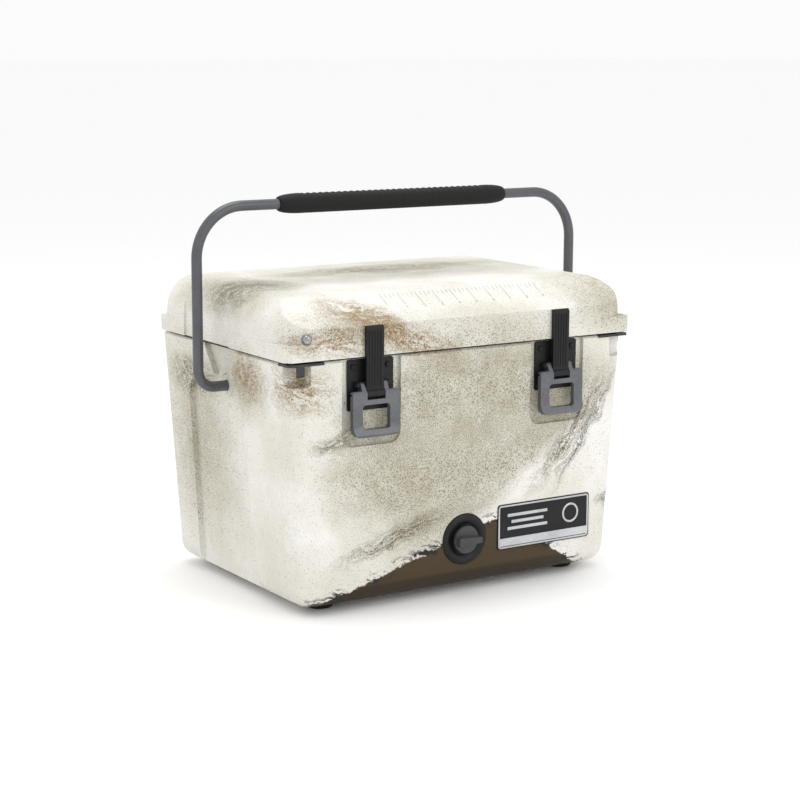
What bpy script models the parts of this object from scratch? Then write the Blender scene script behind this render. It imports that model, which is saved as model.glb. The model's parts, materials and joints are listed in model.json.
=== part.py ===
"""Hard-sided cooler chest with a bail handle and two draw latches. Metres, +Z up, front at -Y."""
import math

import bmesh
import bpy
from mathutils import Matrix, Vector

# Shared clearances
GAP = 0.0003
SKIN = 0.005
ROUND_STEPS = 24

# Tub
FOOT_HEIGHT = 0.009
RIM_Z = 0.309
TUB_TOP_LENGTH = 0.504
TUB_TAPER_LENGTH = 0.040
TUB_TOP_DEPTH = 0.336
TUB_TAPER_DEPTH = 0.008
TUB_BOTTOM_LENGTH = TUB_TOP_LENGTH - TUB_TAPER_LENGTH
TUB_BOTTOM_DEPTH = TUB_TOP_DEPTH - TUB_TAPER_DEPTH
TUB_FRONT_ROUND = 0.030
TUB_REAR_ROUND = 0.020
TUB_BOTTOM_ROUND = 0.020
TUB_RIM_ROUND = 0.003
WALL = 0.050
FLOOR_THICKNESS = 0.036
FLOOR_Z = FOOT_HEIGHT + FLOOR_THICKNESS
CAVITY_DRAFT = 0.010
CAVITY_ROUND = 0.030
CAVITY_FLOOR_ROUND = 0.008

# Recesses in the tub
SIDE_RECESS_DEPTH = 0.007
SIDE_RECESS_FRONT = 0.046
SIDE_RECESS_REAR = 0.092
LATCH_INSET = 0.115
LATCH_SPACING = TUB_TOP_LENGTH - 2 * LATCH_INSET
LEVER_WIDTH = 0.065
LATCH_POCKET_WIDTH = LEVER_WIDTH + 0.017
LATCH_POCKET_BOTTOM = RIM_Z - 0.106
LATCH_POCKET_DEPTH = 0.006
LATCH_POCKET_ROUND = 0.014
CORNER_POCKET_WIDTH = 0.028
CORNER_POCKET_HEIGHT = 0.026
CORNER_POCKET_DEPTH = 0.018
CORNER_POCKET_ROUND = 0.006

# Lid
LID_GAP = 0.002
LID_BASE_Z = RIM_Z + LID_GAP
LID_LENGTH = TUB_TOP_LENGTH + 0.004
LID_FRONT_Y = -(TUB_TOP_DEPTH / 2 + 0.002)
LID_REAR_Y = TUB_TOP_DEPTH / 2 + 0.001
LID_HEIGHT = 0.070
LID_TOP_Z = LID_BASE_Z + LID_HEIGHT
LID_BAND_HEIGHT = 0.037
LID_SLOPE_DEPTH = 0.055
LID_CROWN_EDGE = 0.0015
LID_SIDE_ROUND = 0.042
LID_PLAN_ROUND = 0.043
LID_PLAN_REAR_ROUND = 0.038
LID_REAR_EDGE_ROUND = 0.022
LID_FLANGE_HEIGHT = 0.020
LID_FLANGE_CHAMFER = 0.008
LID_FLANGE_REAR_CHAMFER = 0.013
LID_SIDE_RECESS = 0.003
LID_PLUG_DROP = 0.012
LID_PLUG_CLEARANCE = 0.003
GASKET_WIDTH = 0.010
GASKET_OFFSET = 0.009
GASKET_GROOVE = 0.004

# Hinges at the rear
HINGE_INSET = 0.102
HINGE_SPACING = TUB_TOP_LENGTH - 2 * HINGE_INSET
HINGE_WIDTH = 0.080
HINGE_KNUCKLE = 0.020
HINGE_RADIUS = 0.0065
HINGE_PIN_RADIUS = 0.003
HINGE_AXIS_OUT = 0.007
HINGE_AXIS_UP = 0.001
HINGE_LEAF_HEIGHT = 0.034
HINGE_LEAF_THICKNESS = 0.004

# Bail
BAIL_RADIUS = 0.0065
BAIL_SIDE_SPACE = 0.027
BAIL_SPACING = LID_LENGTH + 2 * BAIL_SIDE_SPACE
BAIL_PIVOT_Z = RIM_Z - 0.049
BAIL_HAND_SPACE = 0.098
BAIL_HEIGHT = LID_TOP_Z + BAIL_HAND_SPACE - BAIL_PIVOT_Z
BAIL_TOP_BEND = 0.062
BAIL_FOOT_BEND = 0.0215
GRIP_RADIUS = BAIL_RADIUS + 0.006
GRIP_LENGTH = BAIL_SPACING - 2 * (BAIL_TOP_BEND + 0.050)
BUSH_RADIUS = BAIL_RADIUS + 0.0045
BUSH_FLANGE_RADIUS = BUSH_RADIUS + 0.0035
BUSH_FLANGE_THICKNESS = 0.003
BUSH_LENGTH = 0.015

# Draw latches: distances out from the pocket floor, heights from the lever pivot
PIVOT_OUT = 0.007
PIVOT_Z = RIM_Z - 0.032
LINK_PIN_OUT = 0.0115
LINK_PIN_DROP = 0.010
LINK_PIN_Z = PIVOT_Z - LINK_PIN_DROP
LATCH_PIN_RADIUS = 0.0016
BASE_WIDTH = LEVER_WIDTH - 0.001
BASE_THICKNESS = 0.0022
BASE_TOP_Z = RIM_Z - 0.0015
BASE_DROP = 0.031
LINK_WIDTH = 0.024
LINK_THICKNESS = 0.0045
LINK_BARREL = 0.005
LINK_TOP_Z = LID_BASE_Z + LID_BAND_HEIGHT
LEVER_TOP_DROP = 0.006
LEVER_BOTTOM_Z = PIVOT_Z - 0.061
LEVER_BACK = 0.010
LEVER_FRONT = 0.0165
LEVER_LIP = 0.0205
LEVER_CROSSBAR_TOP = LINK_PIN_Z - 0.0065
LEVER_WINDOW_TOP = LEVER_CROSSBAR_TOP - 0.006
LEVER_WINDOW_BOTTOM = LEVER_BOTTOM_Z + 0.009
LEVER_WINDOW_WIDTH = 0.038
LEVER_CORNER = 0.010
LEVER_TOP_CORNER = 0.003
EAR_WIDTH = 0.006
LUG_WIDTH = 0.004
LUG_RADIUS = 0.004

# Drain
DRAIN_Z = FOOT_HEIGHT + 0.060
DRAIN_BEZEL_RADIUS = 0.0325
DRAIN_DISH_RADIUS = 0.0195
DRAIN_PLUG_RADIUS = DRAIN_DISH_RADIUS - 0.002
DRAIN_BORE = 0.008
DRAIN_SLEEVE = DRAIN_BORE + 0.003
DRAIN_POCKET_DEPTH = 0.003
DRAIN_BEZEL_FRONT = 0.004
DRAIN_NUT_RADIUS = DRAIN_SLEEVE + 0.0045
DRAIN_NUT_THICKNESS = 0.005
DRAIN_DISH_OUT = 0.003
DRAIN_SEAL_RADIUS = 0.0125
DRAIN_SEAL_THICKNESS = 0.0016
DRAIN_SEAL_OUT = DRAIN_DISH_OUT + GAP
DRAIN_PLUG_OUT = DRAIN_SEAL_OUT + DRAIN_SEAL_THICKNESS + GAP
DRAIN_PLUG_HEAD = 0.0055
DRAIN_BAR_RISE = 0.0085
DRAIN_STEM_LENGTH = 0.016

# Trim and fixings
BADGE_START_X = DRAIN_BEZEL_RADIUS + 0.0175
BADGE_WIDTH = TUB_BOTTOM_LENGTH / 2 - 0.038 - BADGE_START_X
BADGE_HEIGHT = 0.058
BADGE_THICKNESS = 0.0022
BADGE_CORNER = 0.004
BADGE_BED = 0.001
BADGE_X = BADGE_START_X + BADGE_WIDTH / 2
BADGE_Z = FOOT_HEIGHT + 0.067
LOCK_PLATE_THICKNESS = 0.003
LOCK_PLATE_WIDTH = 0.048
LOCK_PLATE_DEPTH = 0.026
LOCK_PLATE_INSET = 0.0015
LOCK_HOLE_RADIUS = 0.0035
LOCK_HOLE_INSET = 0.010
OPENER_LIP_WIDTH = 0.010
OPENER_LIP_DROP = 0.016
OPENER_LIP_THICKNESS = 0.003
OPENER_LIP_INSET = 0.018
FOOT_RADIUS = 0.016
FOOT_SUNK = 0.004
FOOT_INSET_X = 0.050
FOOT_INSET_Y = 0.044
SCREW_RADIUS = 0.0020
SCREW_HEAD_RADIUS = 0.0038
SCREW_HEAD_HEIGHT = 0.0022
SCREW_LENGTH = 0.011
FILL_PORT_RADIUS = 0.008
FILL_PORT_HEAD = 0.012
VENT_RADIUS = 0.0027
VENT_HEAD = 0.006
VENT_SEAT = 0.0012
VENT_RISE = 0.0042
VENT_ANGLE = math.radians(20)
VENT_Z = LID_BASE_Z + 0.0255

SIDES = {"left": -1, "right": 1}
HINGE_Y = LID_REAR_Y + HINGE_AXIS_OUT
HINGE_Z = RIM_Z + HINGE_AXIS_UP
POCKET_Y = -(TUB_TOP_DEPTH / 2 - LATCH_POCKET_DEPTH)


# ---------------------------------------------------------------- scene tools
def clear_scene():
    for item in list(bpy.data.objects):
        bpy.data.objects.remove(item, do_unlink=True)


def make_material(name, colour, roughness, metallic=0.0):
    material = bpy.data.materials.new(name)
    material.use_nodes = True
    shader = material.node_tree.nodes["Principled BSDF"]
    shader.inputs["Base Color"].default_value = (*colour, 1.0)
    shader.inputs["Roughness"].default_value = roughness
    shader.inputs["Metallic"].default_value = metallic
    material.diffuse_color = (*colour, 1.0)
    return material


def make_pivot(name, place):
    pivot = bpy.data.objects.new(name, None)
    pivot.location = place
    pivot.empty_display_size = 0.02
    bpy.context.collection.objects.link(pivot)
    return pivot


def make_object(name, shapes, material=None, pivot=None, smooth=True):
    """One object from closed shapes, each (points, faces) in world metres, hung on a pivot if it moves."""
    shift = Vector(pivot.location) if pivot else Vector((0, 0, 0))
    body = bmesh.new()
    for points, faces in shapes:
        verts = [body.verts.new(Vector(p) - shift) for p in points]
        for face in faces:
            body.faces.new([verts[i] for i in face])
    bmesh.ops.recalc_face_normals(body, faces=body.faces)
    mesh = bpy.data.meshes.new(name)
    body.to_mesh(mesh)
    body.free()
    item = bpy.data.objects.new(name, mesh)
    bpy.context.collection.objects.link(item)
    if pivot:
        item.parent = pivot
    if material:
        mesh.materials.append(material)
    if smooth:
        mesh.shade_smooth()
        mesh.set_sharp_from_angle(angle=math.radians(35))
    return item


def make_cutter(name, shapes):
    item = make_object(name, shapes, smooth=False)
    item.hide_render = True
    item.display_type = "WIRE"
    return item


def combine(target, other, operation="DIFFERENCE"):
    """Adds a Boolean. The other object may be a cutter or a hidden half of a union."""
    other.hide_render = True
    other.display_type = "WIRE"
    modifier = target.modifiers.new(other.name, "BOOLEAN")
    modifier.operation = operation
    modifier.solver = "EXACT"
    modifier.object = other


# ---------------------------------------------------------------- shapes
def loft(rings):
    """A closed body through rings of the same number of points, with flat ends."""
    count = len(rings[0])
    points = [p for ring in rings for p in ring]
    faces = [list(range(count))[::-1]]
    for low in range(len(rings) - 1):
        for i in range(count):
            j = (i + 1) % count
            a, b = low * count, (low + 1) * count
            faces.append([a + i, a + j, b + j, b + i])
    faces.append([(len(rings) - 1) * count + i for i in range(count)])
    return points, faces


def prism(outline, axis, start, end):
    """Extrudes a 2-D outline along X (outline in Y, Z), Y (in X, Z) or Z (in X, Y)."""
    place = {
        "X": lambda a, b, at: (at, a, b),
        "Y": lambda a, b, at: (a, at, b),
        "Z": lambda a, b, at: (a, b, at),
    }[axis]
    return loft([[place(a, b, at) for a, b in outline] for at in (start, end)])


def box(low, high):
    outline = [(low[0], low[1]), (high[0], low[1]), (high[0], high[1]), (low[0], high[1])]
    return prism(outline, "Z", low[2], high[2])


def arc(centre, radius, start, end, steps):
    angles = [math.radians(start + (end - start) * i / steps) for i in range(steps + 1)]
    return [(centre[0] + radius * math.cos(a), centre[1] + radius * math.sin(a)) for a in angles]


def rounded_box_outline(low, high, radii, steps=5):
    """radii: lower left, lower right, upper right, upper left."""
    corners = [(low[0], low[1], 1, 1, 180), (high[0], low[1], -1, 1, 270),
               (high[0], high[1], -1, -1, 0), (low[0], high[1], 1, -1, 90)]
    outline = []
    for (x, y, dx, dy, start), radius in zip(corners, radii):
        if radius > 0:
            outline += arc((x + dx * radius, y + dy * radius), radius, start, start + 90, steps)
        else:
            outline.append((x, y))
    return outline


def turned(profile, centre, axis, steps=ROUND_STEPS, hollow=False):
    """Turns (along, radius) points about an axis. A hollow profile is a closed loop round a bore."""
    direction = Vector(axis).normalized()
    side = direction.orthogonal().normalized()
    other = direction.cross(side)
    middle = Vector(centre)
    points, rows = [], []
    for along, radius in profile:
        if radius == 0:
            rows.append([len(points)] * steps)
            points.append(middle + direction * along)
            continue
        rows.append(list(range(len(points), len(points) + steps)))
        for i in range(steps):
            angle = 2 * math.pi * i / steps
            spoke = side * math.cos(angle) + other * math.sin(angle)
            points.append(middle + direction * along + spoke * radius)
    pairs = list(zip(rows, rows[1:]))
    if hollow:
        pairs.append((rows[-1], rows[0]))
    faces = []
    for a, b in pairs:
        for i in range(steps):
            j = (i + 1) % steps
            corners = [a[i], a[j], b[j], b[i]]
            face = [c for k, c in enumerate(corners) if c != corners[k - 1]]
            if len(face) > 2:
                faces.append(face)
    if not hollow:
        faces += [row for row in (rows[0], rows[-1]) if row[0] != row[1]]
    return points, faces


def cylinder(centre, axis, start, end, radius, steps=ROUND_STEPS):
    return turned([(start, radius), (end, radius)], centre, axis, steps)


def round_hull(circles, steps=8):
    """The outline round a list of circles (a, b, radius), as a belt round pulleys."""
    points = []
    for a, b, radius in circles:
        points += arc((a, b), radius, 0, 360, 4 * steps)[:-1]
    points = sorted(set((round(p[0], 7), round(p[1], 7)) for p in points))

    def half(run):
        chain = []
        for p in run:
            while len(chain) > 1:
                (ax, ay), (bx, by) = chain[-2], chain[-1]
                if (bx - ax) * (p[1] - ay) - (by - ay) * (p[0] - ax) > 0:
                    break
                chain.pop()
            chain.append(p)
        return chain[:-1]
    return half(points) + half(points[::-1])


def grown(outline, amount):
    """An outline moved outwards by amount, corner by corner. The outline runs anticlockwise."""
    count = len(outline)
    result = []
    for i in range(count):
        before, here, after = (Vector(outline[(i + k) % count]) for k in (-1, 0, 1))
        first = (here - before).normalized()
        second = (after - here).normalized()
        normal_a = Vector((first.y, -first.x))
        normal_b = Vector((second.y, -second.x))
        middle = normal_a + normal_b
        result.append(tuple(here + middle * (amount / (1 + normal_a.dot(normal_b)))))
    return result


# ---------------------------------------------------------------- tub
def tub_half(z, top, bottom):
    """Half the tub's length or depth at a height, from its two tapered ends."""
    return (bottom + (top - bottom) * (z - FOOT_HEIGHT) / (RIM_Z - FOOT_HEIGHT)) / 2


def tub_half_x(z):
    return tub_half(z, TUB_TOP_LENGTH, TUB_BOTTOM_LENGTH)


def tub_half_y(z):
    return tub_half(z, TUB_TOP_DEPTH, TUB_BOTTOM_DEPTH)


def tub_ring(z, inset, steps):
    front, rear = (max(r - inset, 0.004) for r in (TUB_FRONT_ROUND, TUB_REAR_ROUND))
    radii = (front, front, rear, rear)
    half_x, half_y = tub_half_x(z) - inset, tub_half_y(z) - inset
    outline = rounded_box_outline((-half_x, -half_y), (half_x, half_y), radii, steps)
    return [(x, y, z) for x, y in outline]


def tub_block(inset, top, rim_round=0.0):
    """The tub's outer form drawn in by inset, with a rounded bottom edge."""
    base = FOOT_HEIGHT + inset
    radius = max(TUB_BOTTOM_ROUND - inset, 0.004)
    bend, corner = (2, 3) if inset else (4, 5)
    rings = []
    for step in range(bend + 1):
        angle = math.radians(90 * step / bend)
        rings.append(tub_ring(base + radius * (1 - math.cos(angle)),
                              inset + radius * (1 - math.sin(angle)), corner))
    if rim_round:
        rings.append(tub_ring(top - rim_round, inset, corner))
    rings.append(tub_ring(top, inset + rim_round, corner))
    return loft(rings)


def cavity_half(z):
    share = (z - FLOOR_Z) / (RIM_Z - FLOOR_Z)
    draw = WALL + CAVITY_DRAFT * (1 - share)
    return TUB_TOP_LENGTH / 2 - draw, TUB_TOP_DEPTH / 2 - draw


def cavity_ring(z, inset, steps):
    half_x, half_y = cavity_half(z)
    half_x, half_y = half_x - inset, half_y - inset
    radius = max(CAVITY_ROUND - inset, 0.004)
    outline = rounded_box_outline((-half_x, -half_y), (half_x, half_y), [radius] * 4, steps)
    return [(x, y, z) for x, y in outline]


def cavity_block(grow=0.0):
    """The food space, or the same space grown by a wall for the foam to keep clear of."""
    base = FLOOR_Z - grow
    bend, corner = (2, 3) if grow else (3, 5)
    rings = []
    for step in range(bend + 1):
        angle = math.radians(90 * step / bend)
        drop = CAVITY_FLOOR_ROUND * (1 - math.cos(angle))
        draw = CAVITY_FLOOR_ROUND * (1 - math.sin(angle)) - grow
        rings.append(cavity_ring(base + drop, draw, corner))
    rings.append(cavity_ring(RIM_Z + 0.004, -grow, corner))
    return loft(rings)


def side_recess(side, grow):
    """A panel recess that narrows to a boss at the bail's pivot and opens again up to the rim."""
    front, rear, top = -SIDE_RECESS_FRONT, SIDE_RECESS_REAR, RIM_Z + 0.010
    neck = BAIL_PIVOT_Z + 0.012
    outline = [(front - 0.015, -0.010), (rear + 0.006, -0.010), (rear, neck - 0.032),
               (rear - 0.010, neck - 0.014), (0.048, neck - 0.006), (0.020, neck), (0.048, top),
               (-0.048, top), (-0.020, neck), (-0.030, neck - 0.004), (front + 0.006, neck - 0.014),
               (front, neck - 0.032)]
    outline = grown(outline, grow)
    depth = SIDE_RECESS_DEPTH + grow
    inner = [(side * (tub_half_x(z) - depth), y, z) for y, z in outline]
    outer = [(side * TUB_TOP_LENGTH * 0.6, y, z) for y, z in outline]
    return loft([inner, outer])


def front_pockets(grow):
    """Latch pockets, corner pockets, the drain's stepped hole and the badge's bed."""
    shapes = []
    front = -TUB_TOP_DEPTH * 0.6
    for side in SIDES.values():
        middle = side * LATCH_SPACING / 2
        half = LATCH_POCKET_WIDTH / 2 + grow
        outline = rounded_box_outline((middle - half, LATCH_POCKET_BOTTOM - grow),
                                      (middle + half, RIM_Z + 0.010),
                                      (LATCH_POCKET_ROUND, LATCH_POCKET_ROUND, 0, 0), 3 if grow else 5)
        shapes.append(prism(outline, "Y", front, POCKET_Y + grow))
        far = TUB_TOP_LENGTH / 2 - 0.004 + grow
        near = far - CORNER_POCKET_WIDTH - 2 * grow
        left, right = sorted((side * far, side * near))
        top = RIM_Z - LOCK_PLATE_THICKNESS - 2 * GAP + grow
        outline = rounded_box_outline((left, top - CORNER_POCKET_HEIGHT - 2 * grow), (right, top),
                                      (CORNER_POCKET_ROUND, CORNER_POCKET_ROUND, 0, 0), 3)
        shapes.append(prism(outline, "Y", front, -TUB_TOP_DEPTH / 2 + CORNER_POCKET_DEPTH + grow))
    bed = drain_bed_y()
    through = -cavity_half(DRAIN_Z)[1] + 0.010
    wide, narrow = (r + GAP + grow for r in (DRAIN_BEZEL_RADIUS, DRAIN_SLEEVE))
    shapes.append(turned([(front - bed, wide), (grow, wide), (grow, narrow), (through - bed, narrow)],
                         (0, bed, DRAIN_Z), (0, 1, 0), 12 if grow else 32))
    if grow == 0:
        shapes.append(prism(badge_outline(GAP), "Y", front, badge_bed_y()))
    return shapes


def drain_bed_y():
    return -tub_half_y(DRAIN_Z - DRAIN_BEZEL_RADIUS) + DRAIN_POCKET_DEPTH


def badge_outline(grow=0.0):
    half_w, half_h = BADGE_WIDTH / 2 + grow, BADGE_HEIGHT / 2 + grow
    return rounded_box_outline((BADGE_X - half_w, BADGE_Z - half_h),
                               (BADGE_X + half_w, BADGE_Z + half_h), [BADGE_CORNER] * 4, 3)


def badge_bed_y():
    return -tub_half_y(BADGE_Z - BADGE_HEIGHT / 2) + BADGE_BED


def bush_seat_x():
    return tub_half_x(BAIL_PIVOT_Z) - SIDE_RECESS_DEPTH - 0.002


def lock_plate_limits(side):
    """The plate's ends along X, from the one near the corner to the one near the middle."""
    far = TUB_TOP_LENGTH / 2 - LOCK_PLATE_INSET
    return sorted((side * far, side * (far - LOCK_PLATE_WIDTH)))


def lock_hole(side, low, high):
    """The padlock's way down through the lid's flange and the plate under it."""
    place = (side * (LID_LENGTH / 2 - LOCK_HOLE_INSET), LID_FRONT_Y + LOCK_HOLE_INSET, RIM_Z)
    return cylinder(place, (0, 0, 1), low, high, LOCK_HOLE_RADIUS, 12)


def bores(grow):
    """Stepped holes for the bail's bushes, the lock plates' slots and the foam port."""
    shapes = []
    for side in SIDES.values():
        seat = bush_seat_x()
        deep = BUSH_LENGTH + GAP + grow
        wide, narrow = (r + GAP + grow for r in (BUSH_FLANGE_RADIUS, BUSH_RADIUS))
        shapes.append(turned([(-0.08, wide), (grow, wide), (grow, narrow), (deep, narrow)],
                             (side * seat, 0, BAIL_PIVOT_Z), (-side, 0, 0), 12 if grow else ROUND_STEPS))
        low, high = lock_plate_limits(side)
        spare = GAP + grow
        shapes.append(box((low - spare, -TUB_TOP_DEPTH * 0.6, RIM_Z - LOCK_PLATE_THICKNESS - GAP - spare),
                          (high + spare, LID_FRONT_Y + LOCK_PLATE_DEPTH + spare, RIM_Z + 0.010)))
    return shapes


def screw_hole(centre, axis, grow):
    """A blind pilot hole with room for the screw's tip. The foam's copy leaves a boss round it."""
    radius = SCREW_RADIUS + GAP + grow
    return cylinder(centre, axis, -0.004, SCREW_LENGTH + GAP + grow, radius, 8 if grow else 12)


def tub_screw_places():
    """Name, where the head seats and the direction of each screw that bites into the tub."""
    places = []
    for side_name, side in SIDES.items():
        for row, sign in (("front", -1), ("rear", 1)):
            x = side * (TUB_BOTTOM_LENGTH / 2 - FOOT_INSET_X)
            y = sign * (TUB_BOTTOM_DEPTH / 2 - FOOT_INSET_Y)
            places.append((f"foot_screw_{row}_{side_name}", (x, y, FOOT_HEIGHT), (0, 0, 1),
                           FOOT_HEIGHT - FOOT_SUNK))
        for index, sign in ((1, -1), (2, 1)):
            x = side * LATCH_SPACING / 2 + sign * (BASE_WIDTH / 2 - 0.008)
            places.append((f"latch_screw_{side_name}_{index}", (x, POCKET_Y, BASE_TOP_Z - 0.009),
                           (0, 1, 0), BASE_THICKNESS + GAP))
            x = side * HINGE_SPACING / 2 + sign * HINGE_WIDTH / 4
            z = RIM_Z - 0.006 - HINGE_LEAF_HEIGHT / 2
            places.append((f"hinge_tub_screw_{side_name}_{index}", (x, tub_half_y(z), z), (0, -1, 0),
                           LID_REAR_Y + GAP - tub_half_y(z) + HINGE_LEAF_THICKNESS))
        low, high = lock_plate_limits(side)
        near = low if side > 0 else high
        seat = (near + side * 0.008, LID_FRONT_Y + LOCK_PLATE_DEPTH - 0.007,
                RIM_Z - LOCK_PLATE_THICKNESS - 2 * GAP)
        places.append((f"lock_plate_screw_{side_name}", seat, (0, 0, -1), 0.001))
    return places


def tub_cutters(level, grow):
    """The three sets of cutters at one growth, each in one object."""
    recesses = [side_recess(side, grow) for side in SIDES.values()]
    screws = [screw_hole(seat, axis, grow) for name, seat, axis, stack in tub_screw_places()]
    return [make_cutter(f"recesses_{level}", recesses), make_cutter(f"pockets_{level}", front_pockets(grow)),
            make_cutter(f"bores_{level}", bores(grow)), make_cutter(f"screw_holes_{level}", screws)]


def build_tub(plastic, foam):
    space = make_cutter("tub_foam_space", [tub_block(SKIN, RIM_Z - SKIN)])
    for cutter in [make_cutter("cavity_space", [cavity_block(SKIN)])] + tub_cutters("space", SKIN):
        combine(space, cutter)
    shell = make_object("tub_shell", [tub_block(0, RIM_Z, TUB_RIM_ROUND)], plastic)
    for cutter in [make_cutter("cavity", [cavity_block()])] + tub_cutters("shell", 0):
        combine(shell, cutter)
    combine(shell, space)
    port = cylinder((0, 0, FOOT_HEIGHT), (0, 0, 1), -0.01, SKIN + 0.002, FILL_PORT_RADIUS)
    combine(shell, make_cutter("tub_port", [port]))
    core = make_object("tub_foam", [tub_block(SKIN + GAP, RIM_Z - SKIN - GAP)], foam)
    for cutter in [make_cutter("cavity_foam", [cavity_block(SKIN + GAP)])] + tub_cutters("foam", SKIN + GAP):
        combine(core, cutter)


# ---------------------------------------------------------------- lid
def lid_side_outline():
    """The lid seen from its end: an upright front band, a slope, the top and a rounded rear edge."""
    band = LID_BASE_Z + LID_BAND_HEIGHT
    slope_end = LID_FRONT_Y + LID_SLOPE_DEPTH
    rear = LID_REAR_EDGE_ROUND
    outline = [(LID_FRONT_Y, LID_BASE_Z - 0.05), (LID_REAR_Y, LID_BASE_Z - 0.05)]
    outline += arc((LID_REAR_Y - rear, LID_TOP_Z - rear), rear, 0, 90, 5)
    outline += [(slope_end + 0.015, LID_TOP_Z), (slope_end, LID_TOP_Z - LID_CROWN_EDGE), (LID_FRONT_Y, band)]
    return outline


def lid_ring(z, inset):
    """Plan outline at a height: the sides turn in towards the top."""
    centre = LID_TOP_Z - LID_SIDE_ROUND
    radius = LID_SIDE_ROUND - inset
    rise = min(max(z - centre, 0), radius)
    draw = radius - math.sqrt(max(radius ** 2 - rise ** 2, 0))
    half_x = LID_LENGTH / 2 - GAP - inset - draw
    corner = max(LID_PLAN_ROUND - inset, 0.004)
    rear = max(LID_PLAN_REAR_ROUND - inset, 0.004)
    outline = rounded_box_outline((-half_x, LID_FRONT_Y + inset), (half_x, LID_REAR_Y - inset),
                                  (corner, corner, rear, rear), 3 if inset else 6)
    return [(x, y, z) for x, y in outline]


def lid_block(base, inset):
    """The lid above its flange. Its rounded sides are lofted and its front and rear are trimmed after."""
    centre = LID_TOP_Z - LID_SIDE_ROUND
    radius = LID_SIDE_ROUND - inset
    rings = [lid_ring(base, inset)]
    bend = 3 if inset else 6
    for step in range(bend + 1):
        rise = radius * math.sin(math.radians(84 * step / bend))
        rings.append(lid_ring(centre + rise, inset))
    return loft(rings)


def lid_trim(inset):
    return prism(grown(lid_side_outline(), -inset), "X", -LID_LENGTH, LID_LENGTH)


def lid_plug_outline(grow=0.0):
    half_x, half_y = cavity_half(RIM_Z)
    half_x += grow - LID_PLUG_CLEARANCE
    half_y += grow - LID_PLUG_CLEARANCE
    corner = CAVITY_ROUND + grow - LID_PLUG_CLEARANCE
    return rounded_box_outline((-half_x, -half_y), (half_x, half_y), [corner] * 4)


def ring_between(inner, outer, low, high):
    """A rectangular-section ring between two outlines with the same number of points."""
    loops = [[(x, y, z) for x, y in outline] for outline, z in
             ((inner, low), (outer, low), (outer, high), (inner, high))]
    points, faces = loft(loops)
    count = len(inner)
    last = 3 * count
    walls = [[last + i, last + (i + 1) % count, (i + 1) % count, i] for i in range(count)]
    return points, faces[1:-1] + walls


def lid_screw_places():
    places = []
    for side_name, side in SIDES.items():
        for index, sign in ((1, -1), (2, 1)):
            x = side * HINGE_SPACING / 2 + sign * HINGE_WIDTH / 4
            z = HINGE_Z + HINGE_RADIUS + 0.001 + HINGE_LEAF_HEIGHT / 2
            places.append((f"hinge_lid_screw_{side_name}_{index}", (x, LID_REAR_Y, z), (0, -1, 0),
                           GAP + HINGE_LEAF_THICKNESS))
    return places


def vent_place():
    """The vent screw's seat on the lid's rounded front left corner, and its direction inwards."""
    centre_x = -(LID_LENGTH / 2 - GAP - LID_PLAN_ROUND)
    centre_y = LID_FRONT_Y + LID_PLAN_ROUND
    out = Vector((-math.sin(VENT_ANGLE), -math.cos(VENT_ANGLE), 0))
    seat = Vector((centre_x, centre_y, VENT_Z)) + out * LID_PLAN_ROUND
    return seat, -out


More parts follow.
